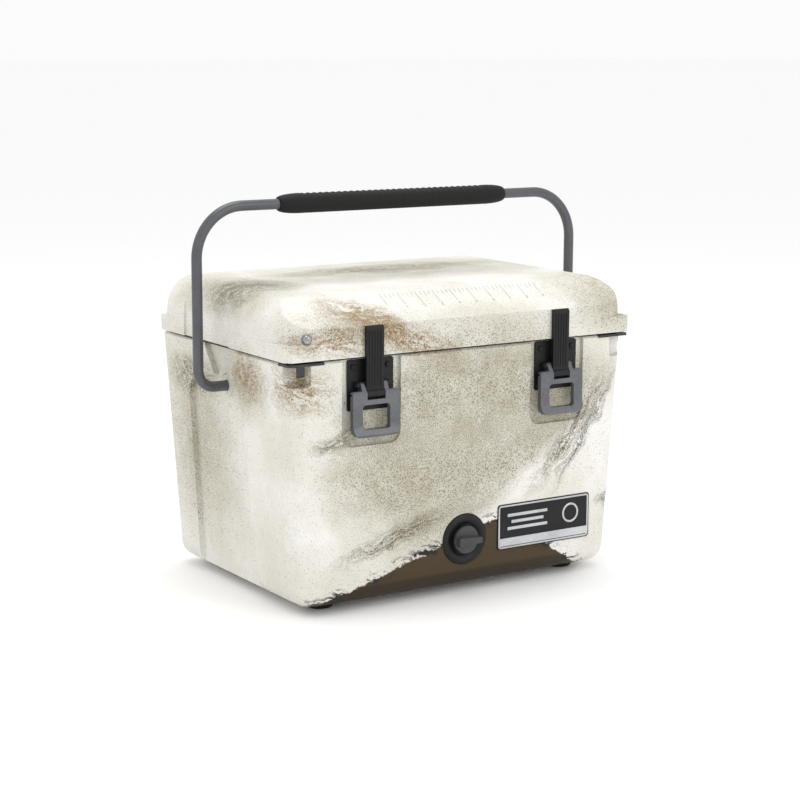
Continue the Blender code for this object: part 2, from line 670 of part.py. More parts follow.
def build_lid(plastic, foam, pivot):
    base = LID_BASE_Z
    foam_base = base + GASKET_GROOVE + SKIN
    bolts = {level: [screw_hole(seat, axis, grow) for name, seat, axis, stack in lid_screw_places()]
             for level, grow in (("shell", 0), ("space", SKIN), ("foam", SKIN + GAP))}

    space = make_cutter("lid_foam_space", [lid_block(foam_base, SKIN)])
    combine(space, make_cutter("lid_trim_space", [lid_trim(SKIN)]), "INTERSECT")
    combine(space, make_cutter("lid_bolts_space", bolts["space"]))

    flange_x, chamfer, rear = LID_LENGTH / 2, LID_FLANGE_CHAMFER, LID_FLANGE_REAR_CHAMFER
    flange = [(-flange_x + chamfer, LID_FRONT_Y), (flange_x - chamfer, LID_FRONT_Y),
              (flange_x, LID_FRONT_Y + chamfer), (flange_x, LID_REAR_Y - rear),
              (flange_x - rear, LID_REAR_Y), (-flange_x + rear, LID_REAR_Y),
              (-flange_x, LID_REAR_Y - rear), (-flange_x, LID_FRONT_Y + chamfer)]
    shell = make_object("lid_shell", [lid_block(base + 0.001, 0)], plastic, pivot)
    combine(shell, make_cutter("lid_trim", [lid_trim(0)]), "INTERSECT")
    flange_body = make_cutter("lid_flange", [prism(flange, "Z", base, base + LID_FLANGE_HEIGHT)])
    combine(shell, flange_body, "UNION")
    plug = make_cutter("lid_plug", [prism(lid_plug_outline(), "Z", base - LID_PLUG_DROP, base + 0.003)])
    combine(shell, plug, "UNION")
    sides = []
    for side in SIDES.values():
        wall, away = side * (LID_LENGTH / 2 - LID_SIDE_RECESS), side * LID_LENGTH
        low, high = sorted((wall, away))
        sides.append(box((low, -0.028, base - 0.01), (high, SIDE_RECESS_REAR, base + 0.043)))
    combine(shell, make_cutter("lid_side_recesses", sides))
    locks = [lock_hole(side, -0.01, LID_GAP + LID_FLANGE_HEIGHT + 0.005) for side in SIDES.values()]
    combine(shell, make_cutter("lid_lock_holes", locks))
    groove = ring_between(lid_plug_outline(GASKET_OFFSET - GAP),
                          lid_plug_outline(GASKET_OFFSET + GASKET_WIDTH + GAP),
                          base - 0.002, base + GASKET_GROOVE)
    combine(shell, make_cutter("gasket_groove", [groove]))
    combine(shell, make_cutter("lid_bolts", bolts["shell"]))
    combine(shell, space)
    seat, inward = vent_place()
    vent = turned([(-0.01, VENT_HEAD + VENT_SEAT), (VENT_SEAT, VENT_HEAD + VENT_SEAT),
                   (VENT_SEAT, VENT_RADIUS + GAP), (SKIN + 0.004, VENT_RADIUS + GAP)], seat, inward, 16)
    combine(shell, make_cutter("lid_vent", [vent]))

    core = make_object("lid_foam", [lid_block(foam_base + GAP, SKIN + GAP)], foam, pivot)
    combine(core, make_cutter("lid_trim_foam", [lid_trim(SKIN + GAP)]), "INTERSECT")
    combine(core, make_cutter("lid_bolts_foam", bolts["foam"]))


def build_gasket(rubber, pivot):
    ring = ring_between(lid_plug_outline(GASKET_OFFSET), lid_plug_outline(GASKET_OFFSET + GASKET_WIDTH),
                        RIM_Z + GAP, LID_BASE_Z + GASKET_GROOVE - GAP)
    make_object("lid_gasket", [ring], rubber, pivot)


# ---------------------------------------------------------------- fixings
def screw_shape(seat, axis, stack):
    """A domed screw. Its head sits on a stack of that thickness above the seat."""
    top = -stack - GAP
    radius = SCREW_HEAD_RADIUS
    return turned([(top - SCREW_HEAD_HEIGHT, 0), (top - SCREW_HEAD_HEIGHT, radius * 0.45),
                   (top - SCREW_HEAD_HEIGHT * 0.55, radius * 0.88), (top, radius), (top, SCREW_RADIUS),
                   (SCREW_LENGTH, SCREW_RADIUS)], seat, axis, 12)


def build_screws(places, steel, pivot=None):
    for name, seat, axis, stack in places:
        make_object(name, [screw_shape(seat, axis, stack)], steel, pivot)


def pierce(target, places, tag):
    """Clearance holes through a piece for the screws that pass through it."""
    holes = [cylinder(seat, axis, -0.02, 0.02, SCREW_RADIUS + GAP, 12) for name, seat, axis, stack in places]
    combine(target, make_cutter(f"{tag}_clearance", holes))


def named(places, start):
    return [place for place in places if place[0].startswith(start)]


def build_feet(rubber, steel, places):
    for name, seat, axis, stack in named(places, "foot_screw"):
        x, y, z = seat
        top = FOOT_HEIGHT - GAP
        sunk = FOOT_HEIGHT - stack
        shape = turned([(0, SCREW_HEAD_RADIUS + 0.0015), (0, FOOT_RADIUS - 0.002), (0.002, FOOT_RADIUS),
                        (top, FOOT_RADIUS), (top, SCREW_RADIUS + GAP), (sunk, SCREW_RADIUS + GAP),
                        (sunk, SCREW_HEAD_RADIUS + 0.0015)], (x, y, 0), (0, 0, 1), 16, hollow=True)
        make_object(name.replace("foot_screw", "foot"), [shape], rubber)


def build_plugs(plastic_dark, steel, pivot):
    top = SKIN - GAP
    shape = turned([(-0.0025, 0), (-0.0025, FILL_PORT_HEAD - 0.001), (-0.0015, FILL_PORT_HEAD),
                    (-GAP, FILL_PORT_HEAD), (-GAP, FILL_PORT_RADIUS - GAP), (top, FILL_PORT_RADIUS - GAP)],
                   (0, 0, FOOT_HEIGHT), (0, 0, 1))
    make_object("tub_fill_plug", [shape], plastic_dark)
    seat, inward = vent_place()
    under, rise = VENT_SEAT - GAP, VENT_RISE
    dome = [(under - rise * math.sin(math.radians(a)), VENT_HEAD * math.cos(math.radians(a)))
            for a in (66, 44, 22, 0)]
    shape = turned([(under - rise, 0)] + dome + [(under, VENT_RADIUS), (SKIN - GAP, VENT_RADIUS)],
                   seat, inward, 16)
    make_object("lid_vent_screw", [shape], steel, pivot)


# ---------------------------------------------------------------- hinges
def build_hinges(metal, steel, lid_pivot, tub_places, lid_places):
    reach = HINGE_RADIUS + 0.001
    for side_name, side in SIDES.items():
        middle = side * HINGE_SPACING / 2
        ends = [(middle - HINGE_WIDTH / 2, middle - HINGE_WIDTH / 2 + HINGE_KNUCKLE),
                (middle + HINGE_WIDTH / 2 - HINGE_KNUCKLE, middle + HINGE_WIDTH / 2)]
        inner = (ends[0][1] + 2 * GAP, ends[1][0] - 2 * GAP)
        full = (middle - HINGE_WIDTH / 2, middle + HINGE_WIDTH / 2)
        near = LID_REAR_Y + GAP
        far = near + HINGE_LEAF_THICKNESS
        axle = (0, HINGE_Y, HINGE_Z)
        for kind, tongues, sign, pivot, places in (
                ("tub", ends, -1, None, tub_places), ("lid", [inner], 1, lid_pivot, lid_places)):
            plate_ends = sorted((HINGE_Z + sign * reach, HINGE_Z + sign * (reach + HINGE_LEAF_HEIGHT)))
            plate = box((full[0], near, plate_ends[0]), (full[1], far, plate_ends[1]))
            leaf = make_object(f"hinge_{kind}_leaf_{side_name}", [plate], metal, pivot)
            tongue_ends = sorted((HINGE_Z, HINGE_Z + sign * (reach + 0.004)))
            webs = [box((a, near, tongue_ends[0]), (b, far - 0.0005, tongue_ends[1])) for a, b in tongues]
            rolls = [cylinder(axle, (1, 0, 0), a, b, HINGE_RADIUS, 20) for a, b in tongues]
            tag = f"{kind}_{side_name}"
            combine(leaf, make_cutter(f"hinge_webs_{tag}", webs), "UNION")
            combine(leaf, make_cutter(f"hinge_rolls_{tag}", rolls), "UNION")
            bore = cylinder(axle, (1, 0, 0), full[0] - 0.01, full[1] + 0.01, HINGE_PIN_RADIUS + GAP, 16)
            combine(leaf, make_cutter(f"hinge_bore_{tag}", [bore]))
            pierce(leaf, named(places, f"hinge_{kind}_screw_{side_name}"), f"hinge_{tag}")
        pin = turned([(full[0] - 0.003, 0), (full[0] - 0.003, 0.004), (full[0] - GAP, 0.005),
                      (full[0] - GAP, HINGE_PIN_RADIUS), (full[1] + 0.001, HINGE_PIN_RADIUS)],
                     axle, (1, 0, 0), 16)
        make_object(f"hinge_pin_{side_name}", [pin], steel)


# ---------------------------------------------------------------- bail
def bail_path():
    """Centre line of the bent rod, from the left foot over the top to the right foot."""
    half = BAIL_SPACING / 2
    foot_end = bush_seat_x() - BUSH_LENGTH + 0.001
    top = BAIL_PIVOT_Z + BAIL_HEIGHT
    small, large = BAIL_FOOT_BEND, BAIL_TOP_BEND
    right = [(foot_end, BAIL_PIVOT_Z)]
    right += arc((half - small, BAIL_PIVOT_Z + small), small, -90, 0, 6)
    right += arc((half - large, top - large), large, 0, 90, 9)
    return [(-x, z) for x, z in right] + [(x, z) for x, z in right[::-1]]


def build_bail(metal, rubber, nylon, pivot):
    route = bpy.data.curves.new("bail_rod", "CURVE")
    route.dimensions = "3D"
    route.bevel_depth = BAIL_RADIUS
    route.bevel_resolution = 4
    route.use_fill_caps = True
    spline = route.splines.new("POLY")
    points = bail_path()
    spline.points.add(len(points) - 1)
    for point, (x, z) in zip(spline.points, points):
        point.co = (x, 0, z - BAIL_PIVOT_Z, 1)
    rod = bpy.data.objects.new("bail_rod", route)
    rod.parent = pivot
    route.materials.append(metal)
    bpy.context.collection.objects.link(rod)

    half, bore, edge = GRIP_LENGTH / 2, BAIL_RADIUS + GAP, 0.003
    grip = turned([(-half, bore), (-half, GRIP_RADIUS - edge), (-half + edge, GRIP_RADIUS),
                   (half - edge, GRIP_RADIUS), (half, GRIP_RADIUS - edge), (half, bore)],
                  (0, 0, BAIL_PIVOT_Z + BAIL_HEIGHT), (1, 0, 0), hollow=True)
    make_object("bail_grip", [grip], rubber, pivot)

    for side_name, side in SIDES.items():
        flange, length = BUSH_FLANGE_THICKNESS, BUSH_LENGTH
        shape = turned([(-flange, bore), (-flange, BUSH_FLANGE_RADIUS - 0.001),
                        (-flange + 0.001, BUSH_FLANGE_RADIUS), (-GAP, BUSH_FLANGE_RADIUS),
                        (-GAP, BUSH_RADIUS), (length, BUSH_RADIUS), (length, bore)],
                       (side * bush_seat_x(), 0, BAIL_PIVOT_Z), (-side, 0, 0), hollow=True)
        make_object(f"bail_bush_{side_name}", [shape], nylon)


# ---------------------------------------------------------------- draw latches
def out_from_pocket(outline):
    """Turns (distance out, height) points into (Y, Z)."""
    return [(POCKET_Y - out, z) for out, z in outline]


def slab(outline, low, high):
    return prism(out_from_pocket(outline), "X", low, high)


def build_latch(side_name, side, dark, metal, steel, places):
    middle = side * LATCH_SPACING / 2
    pivot = make_pivot(f"latch_lever_axis_{side_name}", (middle, POCKET_Y - PIVOT_OUT, PIVOT_Z))
    link_pivot = make_pivot(f"latch_link_axis_{side_name}", (middle, POCKET_Y - LINK_PIN_OUT, LINK_PIN_Z))
    ear_in = LINK_WIDTH / 2 + 0.0006
    ear_out = ear_in + EAR_WIDTH
    lug_in = ear_out + 0.0005
    lug_out = lug_in + LUG_WIDTH
    hole = LATCH_PIN_RADIUS + GAP

    # Base plate with two lugs
    outline = rounded_box_outline((middle - BASE_WIDTH / 2, PIVOT_Z - BASE_DROP),
                                  (middle + BASE_WIDTH / 2, BASE_TOP_Z), [0.003] * 4, 3)
    base = make_object(f"latch_base_{side_name}",
                       [prism(outline, "Y", POCKET_Y - BASE_THICKNESS - GAP, POCKET_Y - GAP)], dark)
    lug = round_hull([(PIVOT_OUT, PIVOT_Z, LUG_RADIUS), (0.0030, PIVOT_Z, 0.0020)], 4)
    lugs = [slab(lug, middle + a, middle + b) for a, b in ((-lug_out, -lug_in), (lug_in, lug_out))]
    combine(base, make_cutter(f"latch_lugs_{side_name}", lugs), "UNION")
    axle = cylinder(pivot.location, (1, 0, 0), -lug_out - 0.01, lug_out + 0.01, hole, 12)
    combine(base, make_cutter(f"latch_lug_bore_{side_name}", [axle]))
    pierce(base, named(places, f"latch_screw_{side_name}"), f"latch_base_{side_name}")

    # Lever: a window frame with round lower corners and two ears
    half = LEVER_WIDTH / 2
    top, low = PIVOT_Z - LEVER_TOP_DROP, LEVER_BOTTOM_Z
    profile = [(LEVER_BACK, low + 0.004), (LEVER_BACK + 0.002, low), (LEVER_LIP - 0.0015, low),
               (LEVER_LIP, low + 0.003), (LEVER_FRONT, low + 0.016), (LEVER_FRONT, top - 0.002),
               (LEVER_FRONT - 0.002, top), (LEVER_BACK, top)]
    frame = slab(profile, middle - half, middle + half)
    lever = make_object(f"latch_lever_{side_name}", [frame], metal, pivot)
    front, back = POCKET_Y - LEVER_LIP - 0.01, POCKET_Y
    border = rounded_box_outline((middle - half, low), (middle + half, top),
                                 (LEVER_CORNER, LEVER_CORNER, LEVER_TOP_CORNER, LEVER_TOP_CORNER), 4)
    combine(lever, make_cutter(f"lever_border_{side_name}", [prism(border, "Y", front, back)]), "INTERSECT")
    ear = round_hull([(PIVOT_OUT, PIVOT_Z, LUG_RADIUS), (LINK_PIN_OUT, LINK_PIN_Z, 0.0045),
                      (LEVER_FRONT - 0.003, LINK_PIN_Z - 0.004, 0.0025)], 4)
    ears = [slab(ear, middle + a, middle + b) for a, b in ((-ear_out, -ear_in), (ear_in, ear_out))]
    combine(lever, make_cutter(f"latch_ears_{side_name}", ears), "UNION")
    window = rounded_box_outline((middle - LEVER_WINDOW_WIDTH / 2, LEVER_WINDOW_BOTTOM),
                                 (middle + LEVER_WINDOW_WIDTH / 2, LEVER_WINDOW_TOP), [0.004] * 4, 3)
    notch = [(middle - ear_in, LEVER_CROSSBAR_TOP), (middle + ear_in, LEVER_CROSSBAR_TOP),
             (middle + ear_in, PIVOT_Z + 0.02), (middle - ear_in, PIVOT_Z + 0.02)]
    combine(lever, make_cutter(f"lever_openings_{side_name}",
                               [prism(window, "Y", front, back), prism(notch, "Y", front, back)]))
    bores_x = (-half - 0.005, half + 0.005)
    combine(lever, make_cutter(f"lever_bores_{side_name}", [
        cylinder(pivot.location, (1, 0, 0), *bores_x, hole, 12),
        cylinder(link_pivot.location, (1, 0, 0), *bores_x, hole, 12)]))

    # Link: a strap that rises over the lid's front band, on a barrel
    back_out = LINK_PIN_OUT - LINK_THICKNESS / 2
    strap = [(back_out, LINK_PIN_Z), (back_out + LINK_THICKNESS, LINK_PIN_Z),
             (back_out + LINK_THICKNESS, LINK_TOP_Z - 0.003), (back_out + LINK_THICKNESS - 0.002, LINK_TOP_Z),
             (back_out + 0.001, LINK_TOP_Z), (back_out, LINK_TOP_Z - 0.001)]
    width = (middle - LINK_WIDTH / 2, middle + LINK_WIDTH / 2)
    link = make_object(f"latch_link_{side_name}", [slab(strap, *width)], dark, link_pivot)
    barrel = cylinder(link_pivot.location, (1, 0, 0), -LINK_WIDTH / 2, LINK_WIDTH / 2, LINK_BARREL, 20)
    combine(link, make_cutter(f"link_barrel_{side_name}", [barrel]), "UNION")
    bore = cylinder(link_pivot.location, (1, 0, 0), -0.02, 0.02, hole, 12)
    combine(link, make_cutter(f"link_bore_{side_name}", [bore]))

    pin_end = lug_out + GAP
    pivot_pin = cylinder(pivot.location, (1, 0, 0), -pin_end, pin_end, LATCH_PIN_RADIUS, 12)
    make_object(f"latch_pivot_pin_{side_name}", [pivot_pin], steel)
    link_pin = cylinder(link_pivot.location, (1, 0, 0), -ear_out, ear_out, LATCH_PIN_RADIUS, 12)
    make_object(f"latch_link_pin_{side_name}", [link_pin], steel, pivot)


# ---------------------------------------------------------------- drain
def build_drain(dark, grey, rubber):
    bed = drain_bed_y()
    centre = (0, bed, DRAIN_Z)
    inner_face = -cavity_half(DRAIN_Z)[1] - bed
    front, dish = DRAIN_POCKET_DEPTH + DRAIN_BEZEL_FRONT, DRAIN_BORE
    sleeve_end = inner_face + DRAIN_NUT_THICKNESS + 0.002
    bezel = turned([(-GAP, DRAIN_BEZEL_RADIUS), (-front + 0.003, DRAIN_BEZEL_RADIUS),
                    (-front, DRAIN_BEZEL_RADIUS - 0.005), (-front + 0.001, DRAIN_DISH_RADIUS + 0.004),
                    (-DRAIN_DISH_OUT, DRAIN_DISH_RADIUS), (-DRAIN_DISH_OUT, dish), (sleeve_end, dish),
                    (sleeve_end, DRAIN_SLEEVE), (-GAP, DRAIN_SLEEVE)], centre, (0, 1, 0), 32, hollow=True)
    make_object("drain_bezel", [bezel], dark)
    nut_low = inner_face + 0.0012
    nut_high = nut_low + DRAIN_NUT_THICKNESS
    hexagon = cylinder(centre, (0, 1, 0), nut_low, nut_high, DRAIN_NUT_RADIUS, 6)
    nut = make_object("drain_nut", [hexagon], dark)
    thread = cylinder(centre, (0, 1, 0), nut_low - 0.01, nut_high + 0.01, DRAIN_SLEEVE + GAP, 32)
    combine(nut, make_cutter("drain_nut_bore", [thread]))

    pivot = make_pivot("drain_plug_axis", centre)
    near, away = -DRAIN_SEAL_OUT, -DRAIN_SEAL_OUT - DRAIN_SEAL_THICKNESS
    seal = turned([(near, DRAIN_BORE + GAP), (near, DRAIN_SEAL_RADIUS), (away, DRAIN_SEAL_RADIUS),
                   (away, DRAIN_BORE + GAP)], centre, (0, 1, 0), 24, hollow=True)
    make_object("drain_seal", [seal], rubber, pivot)
    face = -DRAIN_PLUG_OUT
    head = face - DRAIN_PLUG_HEAD
    stem = DRAIN_BORE - GAP
    plug = make_object("drain_plug", [turned([
        (head, 0), (head, DRAIN_PLUG_RADIUS - 0.0015), (head + 0.0015, DRAIN_PLUG_RADIUS),
        (face, DRAIN_PLUG_RADIUS), (face, stem), (DRAIN_STEM_LENGTH, stem)],
        centre, (0, 1, 0), 32)], grey, pivot)
    tall, short, reach = 0.0055, 0.0035, DRAIN_PLUG_RADIUS - 0.0008
    bar = [(-reach, -tall), (reach, -short), (reach, short), (-reach, tall)]
    placed_bar = [(x, DRAIN_Z + z) for x, z in bar]
    y = bed + head
    raised = prism(placed_bar, "Y", y - DRAIN_BAR_RISE, y + 0.002)
    combine(plug, make_cutter("drain_plug_bar", [raised]), "UNION")


# ---------------------------------------------------------------- trim
def build_badge(metal):
    back = badge_bed_y() - GAP
    make_object("badge", [prism(badge_outline(), "Y", back - BADGE_THICKNESS, back)], metal)


def build_lock_plates(steel, places):
    top = RIM_Z - GAP
    for side_name, side in SIDES.items():
        low, high = lock_plate_limits(side)
        front, rear = LID_FRONT_Y + 0.001, LID_FRONT_Y + LOCK_PLATE_DEPTH
        cut = LID_FLANGE_CHAMFER - 0.004
        corner = [(low, front + cut), (low + cut, front), (high, front)] if side < 0 else \
                 [(low, front), (high - cut, front), (high, front + cut)]
        outline = corner + [(high, rear), (low, rear)]
        plate = make_object(f"lock_plate_{side_name}",
                            [prism(outline, "Z", top - LOCK_PLATE_THICKNESS, top)], steel)
        if side_name == "left":
            lip_x = side * (TUB_TOP_LENGTH / 2 - OPENER_LIP_INSET)
            inner, foot, half = front + OPENER_LIP_THICKNESS, top - OPENER_LIP_DROP, OPENER_LIP_WIDTH / 2
            lip = [(front, top - 0.001), (front, foot + 0.002), (inner, foot), (inner, top - 0.001)]
            tooth = make_cutter("opener_lip", [prism(lip, "X", lip_x - half, lip_x + half)])
            combine(plate, tooth, "UNION")
        combine(plate, make_cutter(f"lock_plate_hole_{side_name}", [lock_hole(side, -0.02, 0.01)]))
        screws = named(places, f"lock_plate_screw_{side_name}")
        pierce(plate, screws, f"lock_plate_{side_name}")
        name, seat, axis, stack = screws[0]
        sink = cylinder(seat, axis, -0.02, -stack, SCREW_HEAD_RADIUS + GAP, 12)
        combine(plate, make_cutter(f"plate_sink_{side_name}", [sink]))


def main():
    clear_scene()
    shell_plastic = make_material("moulded_polyethylene", (0.80, 0.79, 0.74), 0.5)
    foam = make_material("insulating_foam", (0.86, 0.80, 0.52), 0.9)
    rubber = make_material("black_rubber", (0.012, 0.012, 0.013), 0.75)
    black_plastic = make_material("black_nylon", (0.018, 0.018, 0.018), 0.55)
    grey_plastic = make_material("grey_nylon", (0.11, 0.11, 0.11), 0.5)
    grey_metal = make_material("cast_lever_alloy", (0.15, 0.15, 0.16), 0.42, 0.7)
    rod_metal = make_material("coated_rod", (0.10, 0.10, 0.105), 0.45, 0.6)
    steel = make_material("stainless_steel", (0.56, 0.57, 0.58), 0.3, 1.0)
    trim = make_material("badge_plate", (0.35, 0.35, 0.36), 0.35, 0.8)

    lid_pivot = make_pivot("lid_axis", (0, HINGE_Y, HINGE_Z))
    bail_pivot = make_pivot("bail_axis", (0, 0, BAIL_PIVOT_Z))
    tub_places, lid_places = tub_screw_places(), lid_screw_places()

    build_tub(shell_plastic, foam)
    build_lid(shell_plastic, foam, lid_pivot)
    build_gasket(rubber, lid_pivot)
    build_feet(rubber, steel, tub_places)
    build_plugs(black_plastic, steel, lid_pivot)
    build_hinges(black_plastic, steel, lid_pivot, tub_places, lid_places)
    build_bail(rod_metal, rubber, black_plastic, bail_pivot)
    for side_name, side in SIDES.items():
        build_latch(side_name, side, black_plastic, grey_metal, steel, tub_places)
    build_drain(black_plastic, grey_plastic, rubber)
    build_badge(trim)
    build_lock_plates(steel, tub_places)
    build_screws(tub_places, steel)
    build_screws(lid_places, steel, lid_pivot)


main()
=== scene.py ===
import json
from math import cos, pi, radians, sin

import bmesh
import bpy
import numpy as np
from mathutils import Matrix, Vector

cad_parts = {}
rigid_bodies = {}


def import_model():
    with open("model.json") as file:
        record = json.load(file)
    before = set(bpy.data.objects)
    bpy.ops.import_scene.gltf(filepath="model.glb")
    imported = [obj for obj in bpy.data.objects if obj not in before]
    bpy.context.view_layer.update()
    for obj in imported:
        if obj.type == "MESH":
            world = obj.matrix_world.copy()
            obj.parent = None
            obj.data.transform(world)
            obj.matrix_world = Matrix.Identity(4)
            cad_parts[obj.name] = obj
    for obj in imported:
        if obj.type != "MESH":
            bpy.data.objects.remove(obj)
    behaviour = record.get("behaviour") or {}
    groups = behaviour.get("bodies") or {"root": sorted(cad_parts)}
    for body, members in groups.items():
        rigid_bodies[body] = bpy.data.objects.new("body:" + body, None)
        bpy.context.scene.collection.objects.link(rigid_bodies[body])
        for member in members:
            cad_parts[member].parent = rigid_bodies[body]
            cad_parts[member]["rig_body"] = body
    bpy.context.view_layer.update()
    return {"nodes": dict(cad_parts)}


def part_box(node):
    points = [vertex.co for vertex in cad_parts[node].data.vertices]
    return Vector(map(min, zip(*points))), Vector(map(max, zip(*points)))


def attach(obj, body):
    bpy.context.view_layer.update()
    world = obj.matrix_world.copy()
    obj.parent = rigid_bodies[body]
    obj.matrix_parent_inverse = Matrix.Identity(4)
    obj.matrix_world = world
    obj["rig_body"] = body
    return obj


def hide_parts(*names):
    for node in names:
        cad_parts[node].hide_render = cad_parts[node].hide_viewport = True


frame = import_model()
nodes = frame["nodes"]
print("frame loaded:", len(nodes), "nodes")


# Small tools

# Degrees past which an edge stays sharp: on a made piece, on the rod and on a softened copy
sharpAngles = {"piece": 40, "rod": 50, "copy": 32}


def linear(colour):
    # sRGB hex to the linear colour that shaders use
    values = [int(colour[i:i + 2], 16) / 255 for i in (1, 3, 5)]
    return tuple(v / 12.92 if v <= 0.04045 else ((v + 0.055) / 1.055) ** 2.4 for v in values) + (1.0,)


def addNode(tree, kind, inputs=None, **settings):
    # One node with its settings; an input takes a value or another node's output
    node = tree.nodes.new("ShaderNode" + kind)
    for name, value in settings.items():
        setattr(node, name, value)
    for key, value in (inputs or {}).items():
        if isinstance(value, bpy.types.NodeSocket):
            tree.links.new(value, node.inputs[key])
        else:
            node.inputs[key].default_value = value
    return node


def newMaterial(name, roughness, metallic=0.0):
    # A material with the finish's own gloss and metal, its tree, its shader and the object's coordinates
    material = bpy.data.materials.new(name)
    material.use_nodes = True
    tree = material.node_tree
    shader = tree.nodes["Principled BSDF"]
    shader.inputs["Roughness"].default_value = roughness
    shader.inputs["Metallic"].default_value = metallic
    shader.inputs["Specular IOR Level"].default_value = 0.35
    place = addNode(tree, "TexCoord").outputs["Object"]
    return material, tree, shader, place


def makePiece(name, points, faces, material, body, smooth=True):
    # A mesh from arrays of points and faces, in place on its body
    mesh = bpy.data.meshes.new(name)
    mesh.from_pydata(points.tolist(), [], faces.tolist())
    mesh.materials.append(material)
    if smooth:
        mesh.shade_smooth()
        mesh.set_sharp_from_angle(angle=radians(sharpAngles["piece"]))
    return settle(bpy.data.objects.new(name, mesh), body)


def settle(piece, body):
    # Into the scene and onto its body
    bpy.context.scene.collection.objects.link(piece)
    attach(piece, body)
    return piece


def gridFaces(rows, columns):
    # Quads of a grid that closes on itself both ways
    i, j = np.meshgrid(np.arange(rows), np.arange(columns), indexing="ij")
    nextI, nextJ = (i + 1) % rows, (j + 1) % columns
    return np.stack([i * columns + j, i * columns + nextJ, nextI * columns + nextJ,
                     nextI * columns + j], -1).reshape(-1, 4)


def arcPoints(centre, radius, start, end, steps):
    # Points on a circle from one angle to another, in degrees
    angles = np.radians(np.linspace(start, end, steps))
    return np.stack([centre[0] + radius * np.cos(angles), centre[1] + radius * np.sin(angles)], -1)


def roundedFrame(halfWide, halfTall, radius, steps=8):
    # A rectangle with round corners, as four quarter circles joined up
    corners = [(1, 1, 0), (-1, 1, 90), (-1, -1, 180), (1, -1, 270)]
    return np.vstack([
        arcPoints((a * (halfWide - radius), b * (halfTall - radius)), radius, start, start + 90, steps)
        for a, b, start in corners])


# Materials

# Polyethylene, rotationally moulded and then dipped in a printed film: satin, faintly pebbled, with the
# film's snow, sand and bark under a thin matt lacquer
dipPattern = {
    "snow": "#ebe9e4", "snowShade": "#d9d6cb", "speck": "#6b6552", "sand": "#b4ae99",
    "gold": "#86693a", "olive": "#5e553c", "dark": "#3b352a",     # the tones that strokes take
    "bark": "#423319", "barkFootShade": "#302513", "char": "#1d1b17", "inside": "#eeede7",
    "speckSize": 0.0014,     # m, one printed grain, a little coarser than print so that it shows
    "patchSize": 0.070,      # m, one drift of snow
    "pebbleSize": 0.0011, "pebbleDepth": 0.0003,    # m, the mould's texture
    "warpSize": 0.030, "warpReach": 0.035,          # m, the warp that makes the fields' edges ragged
    "frontFade": (-0.120, -0.145),                  # y where the bark begins and where it is full
    # Field masks, in radii from the centre: nothing past the rim, full inside the core
    "fieldRim": 1.2, "frontCore": 0.75, "sandCore": 0.3, "strokeCore": 0.45,
    "strokeGrain": (16.0, 120.0, 330.0),            # noise cells per metre along a stroke and across it
    "speckStrength": 9.0, "speckInk": 0.72,         # how sharply a grain starts, and how dark it gets
    # Bark: its top point, two slopes, torn edge, edge fade, the darker band along the foot, which is painted
    # shade, and the chips by its edge
    "edgePeak": (0.052, 0.090), "edgeLeft": 0.29, "edgeRight": 0.60,
    "tornSize": 0.016, "tornDepth": 0.020, "barkFade": 0.0015, "footShadeBand": (0.027, 0.031),
    "chipReach": (0.014, 0.003), "barkGrain": (40.0, 40.0, 300.0),
    "sandLine": (0.73, 0.078),   # the sand's lower edge on the front: slope, and height at the middle
    "sandFade": (-0.010, 0.014),                    # m from that line to no sand and to full sand
    "floorLift": 0.010,                             # m above the fill plug, where plain white begins
    "frontSand": ((0.02, -0.17, 0.19), (0.21, 0.10, 0.15)),
    # The second patch, wide across the lid top, is partly sand print and partly painted shade that greys the
    # top as lit less than the front
    "sandPatchesWithTopShade": [((0.24, -0.13, 0.35), (0.10, 0.09, 0.045)), ((0.06, 0.06, 0.385), (0.26, 0.10, 0.03)),
                    ((-0.25, 0.07, 0.17), (0.045, 0.11, 0.15)), ((-0.26, -0.05, 0.27), (0.05, 0.07, 0.05)),
                    ((0.25, 0.0, 0.20), (0.03, 0.13, 0.13)), ((0.0, 0.17, 0.18), (0.22, 0.05, 0.11)),
                    ((-0.21, 0.02, 0.37), (0.08, 0.12, 0.03)),
                    ((-0.16, -0.16, 0.345), (0.10, 0.04, 0.022))],
    # Centre, radii, lean in radians (positive rises towards +X) and tone: strokes run along the lean
    "strokePatches": [
        ((-0.175, -0.17, 0.330), (0.085, 0.06, 0.017), -0.05, "gold"),
        ((-0.085, -0.17, 0.328), (0.075, 0.06, 0.020), -0.40, "gold"),
        ((-0.135, -0.15, 0.352), (0.065, 0.06, 0.018), -0.32, "gold"),
        ((-0.210, 0.00, 0.378), (0.060, 0.060, 0.030), 0.10, "olive"),
        ((-0.255, -0.070, 0.280), (0.05, 0.045, 0.030), 0.0, "gold"),
        ((-0.255, 0.080, 0.262), (0.04, 0.060, 0.030), 0.0, "olive"),
        ((-0.225, -0.150, 0.275), (0.04, 0.04, 0.030), -0.3, "gold"),
        ((0.160, -0.17, 0.190), (0.095, 0.06, 0.014), 0.90, "olive"),
        ((0.185, -0.17, 0.190), (0.090, 0.06, 0.009), 0.98, "dark"),
        ((0.03, 0.07, 0.385), (0.16, 0.040, 0.03), 0.0, "olive"),
        ((-0.185, -0.17, 0.212), (0.040, 0.06, 0.012), 0.25, "olive"),
        ((-0.105, -0.17, 0.083), (0.085, 0.06, 0.016), 0.30, "olive"),
        ((0.228, -0.17, 0.095), (0.024, 0.06, 0.010), 0.1, "dark"),
        ((0.252, 0.02, 0.23), (0.04, 0.10, 0.030), 0.0, "olive"),
        ((0.05, 0.168, 0.20), (0.17, 0.06, 0.020), 0.35, "gold")],
}


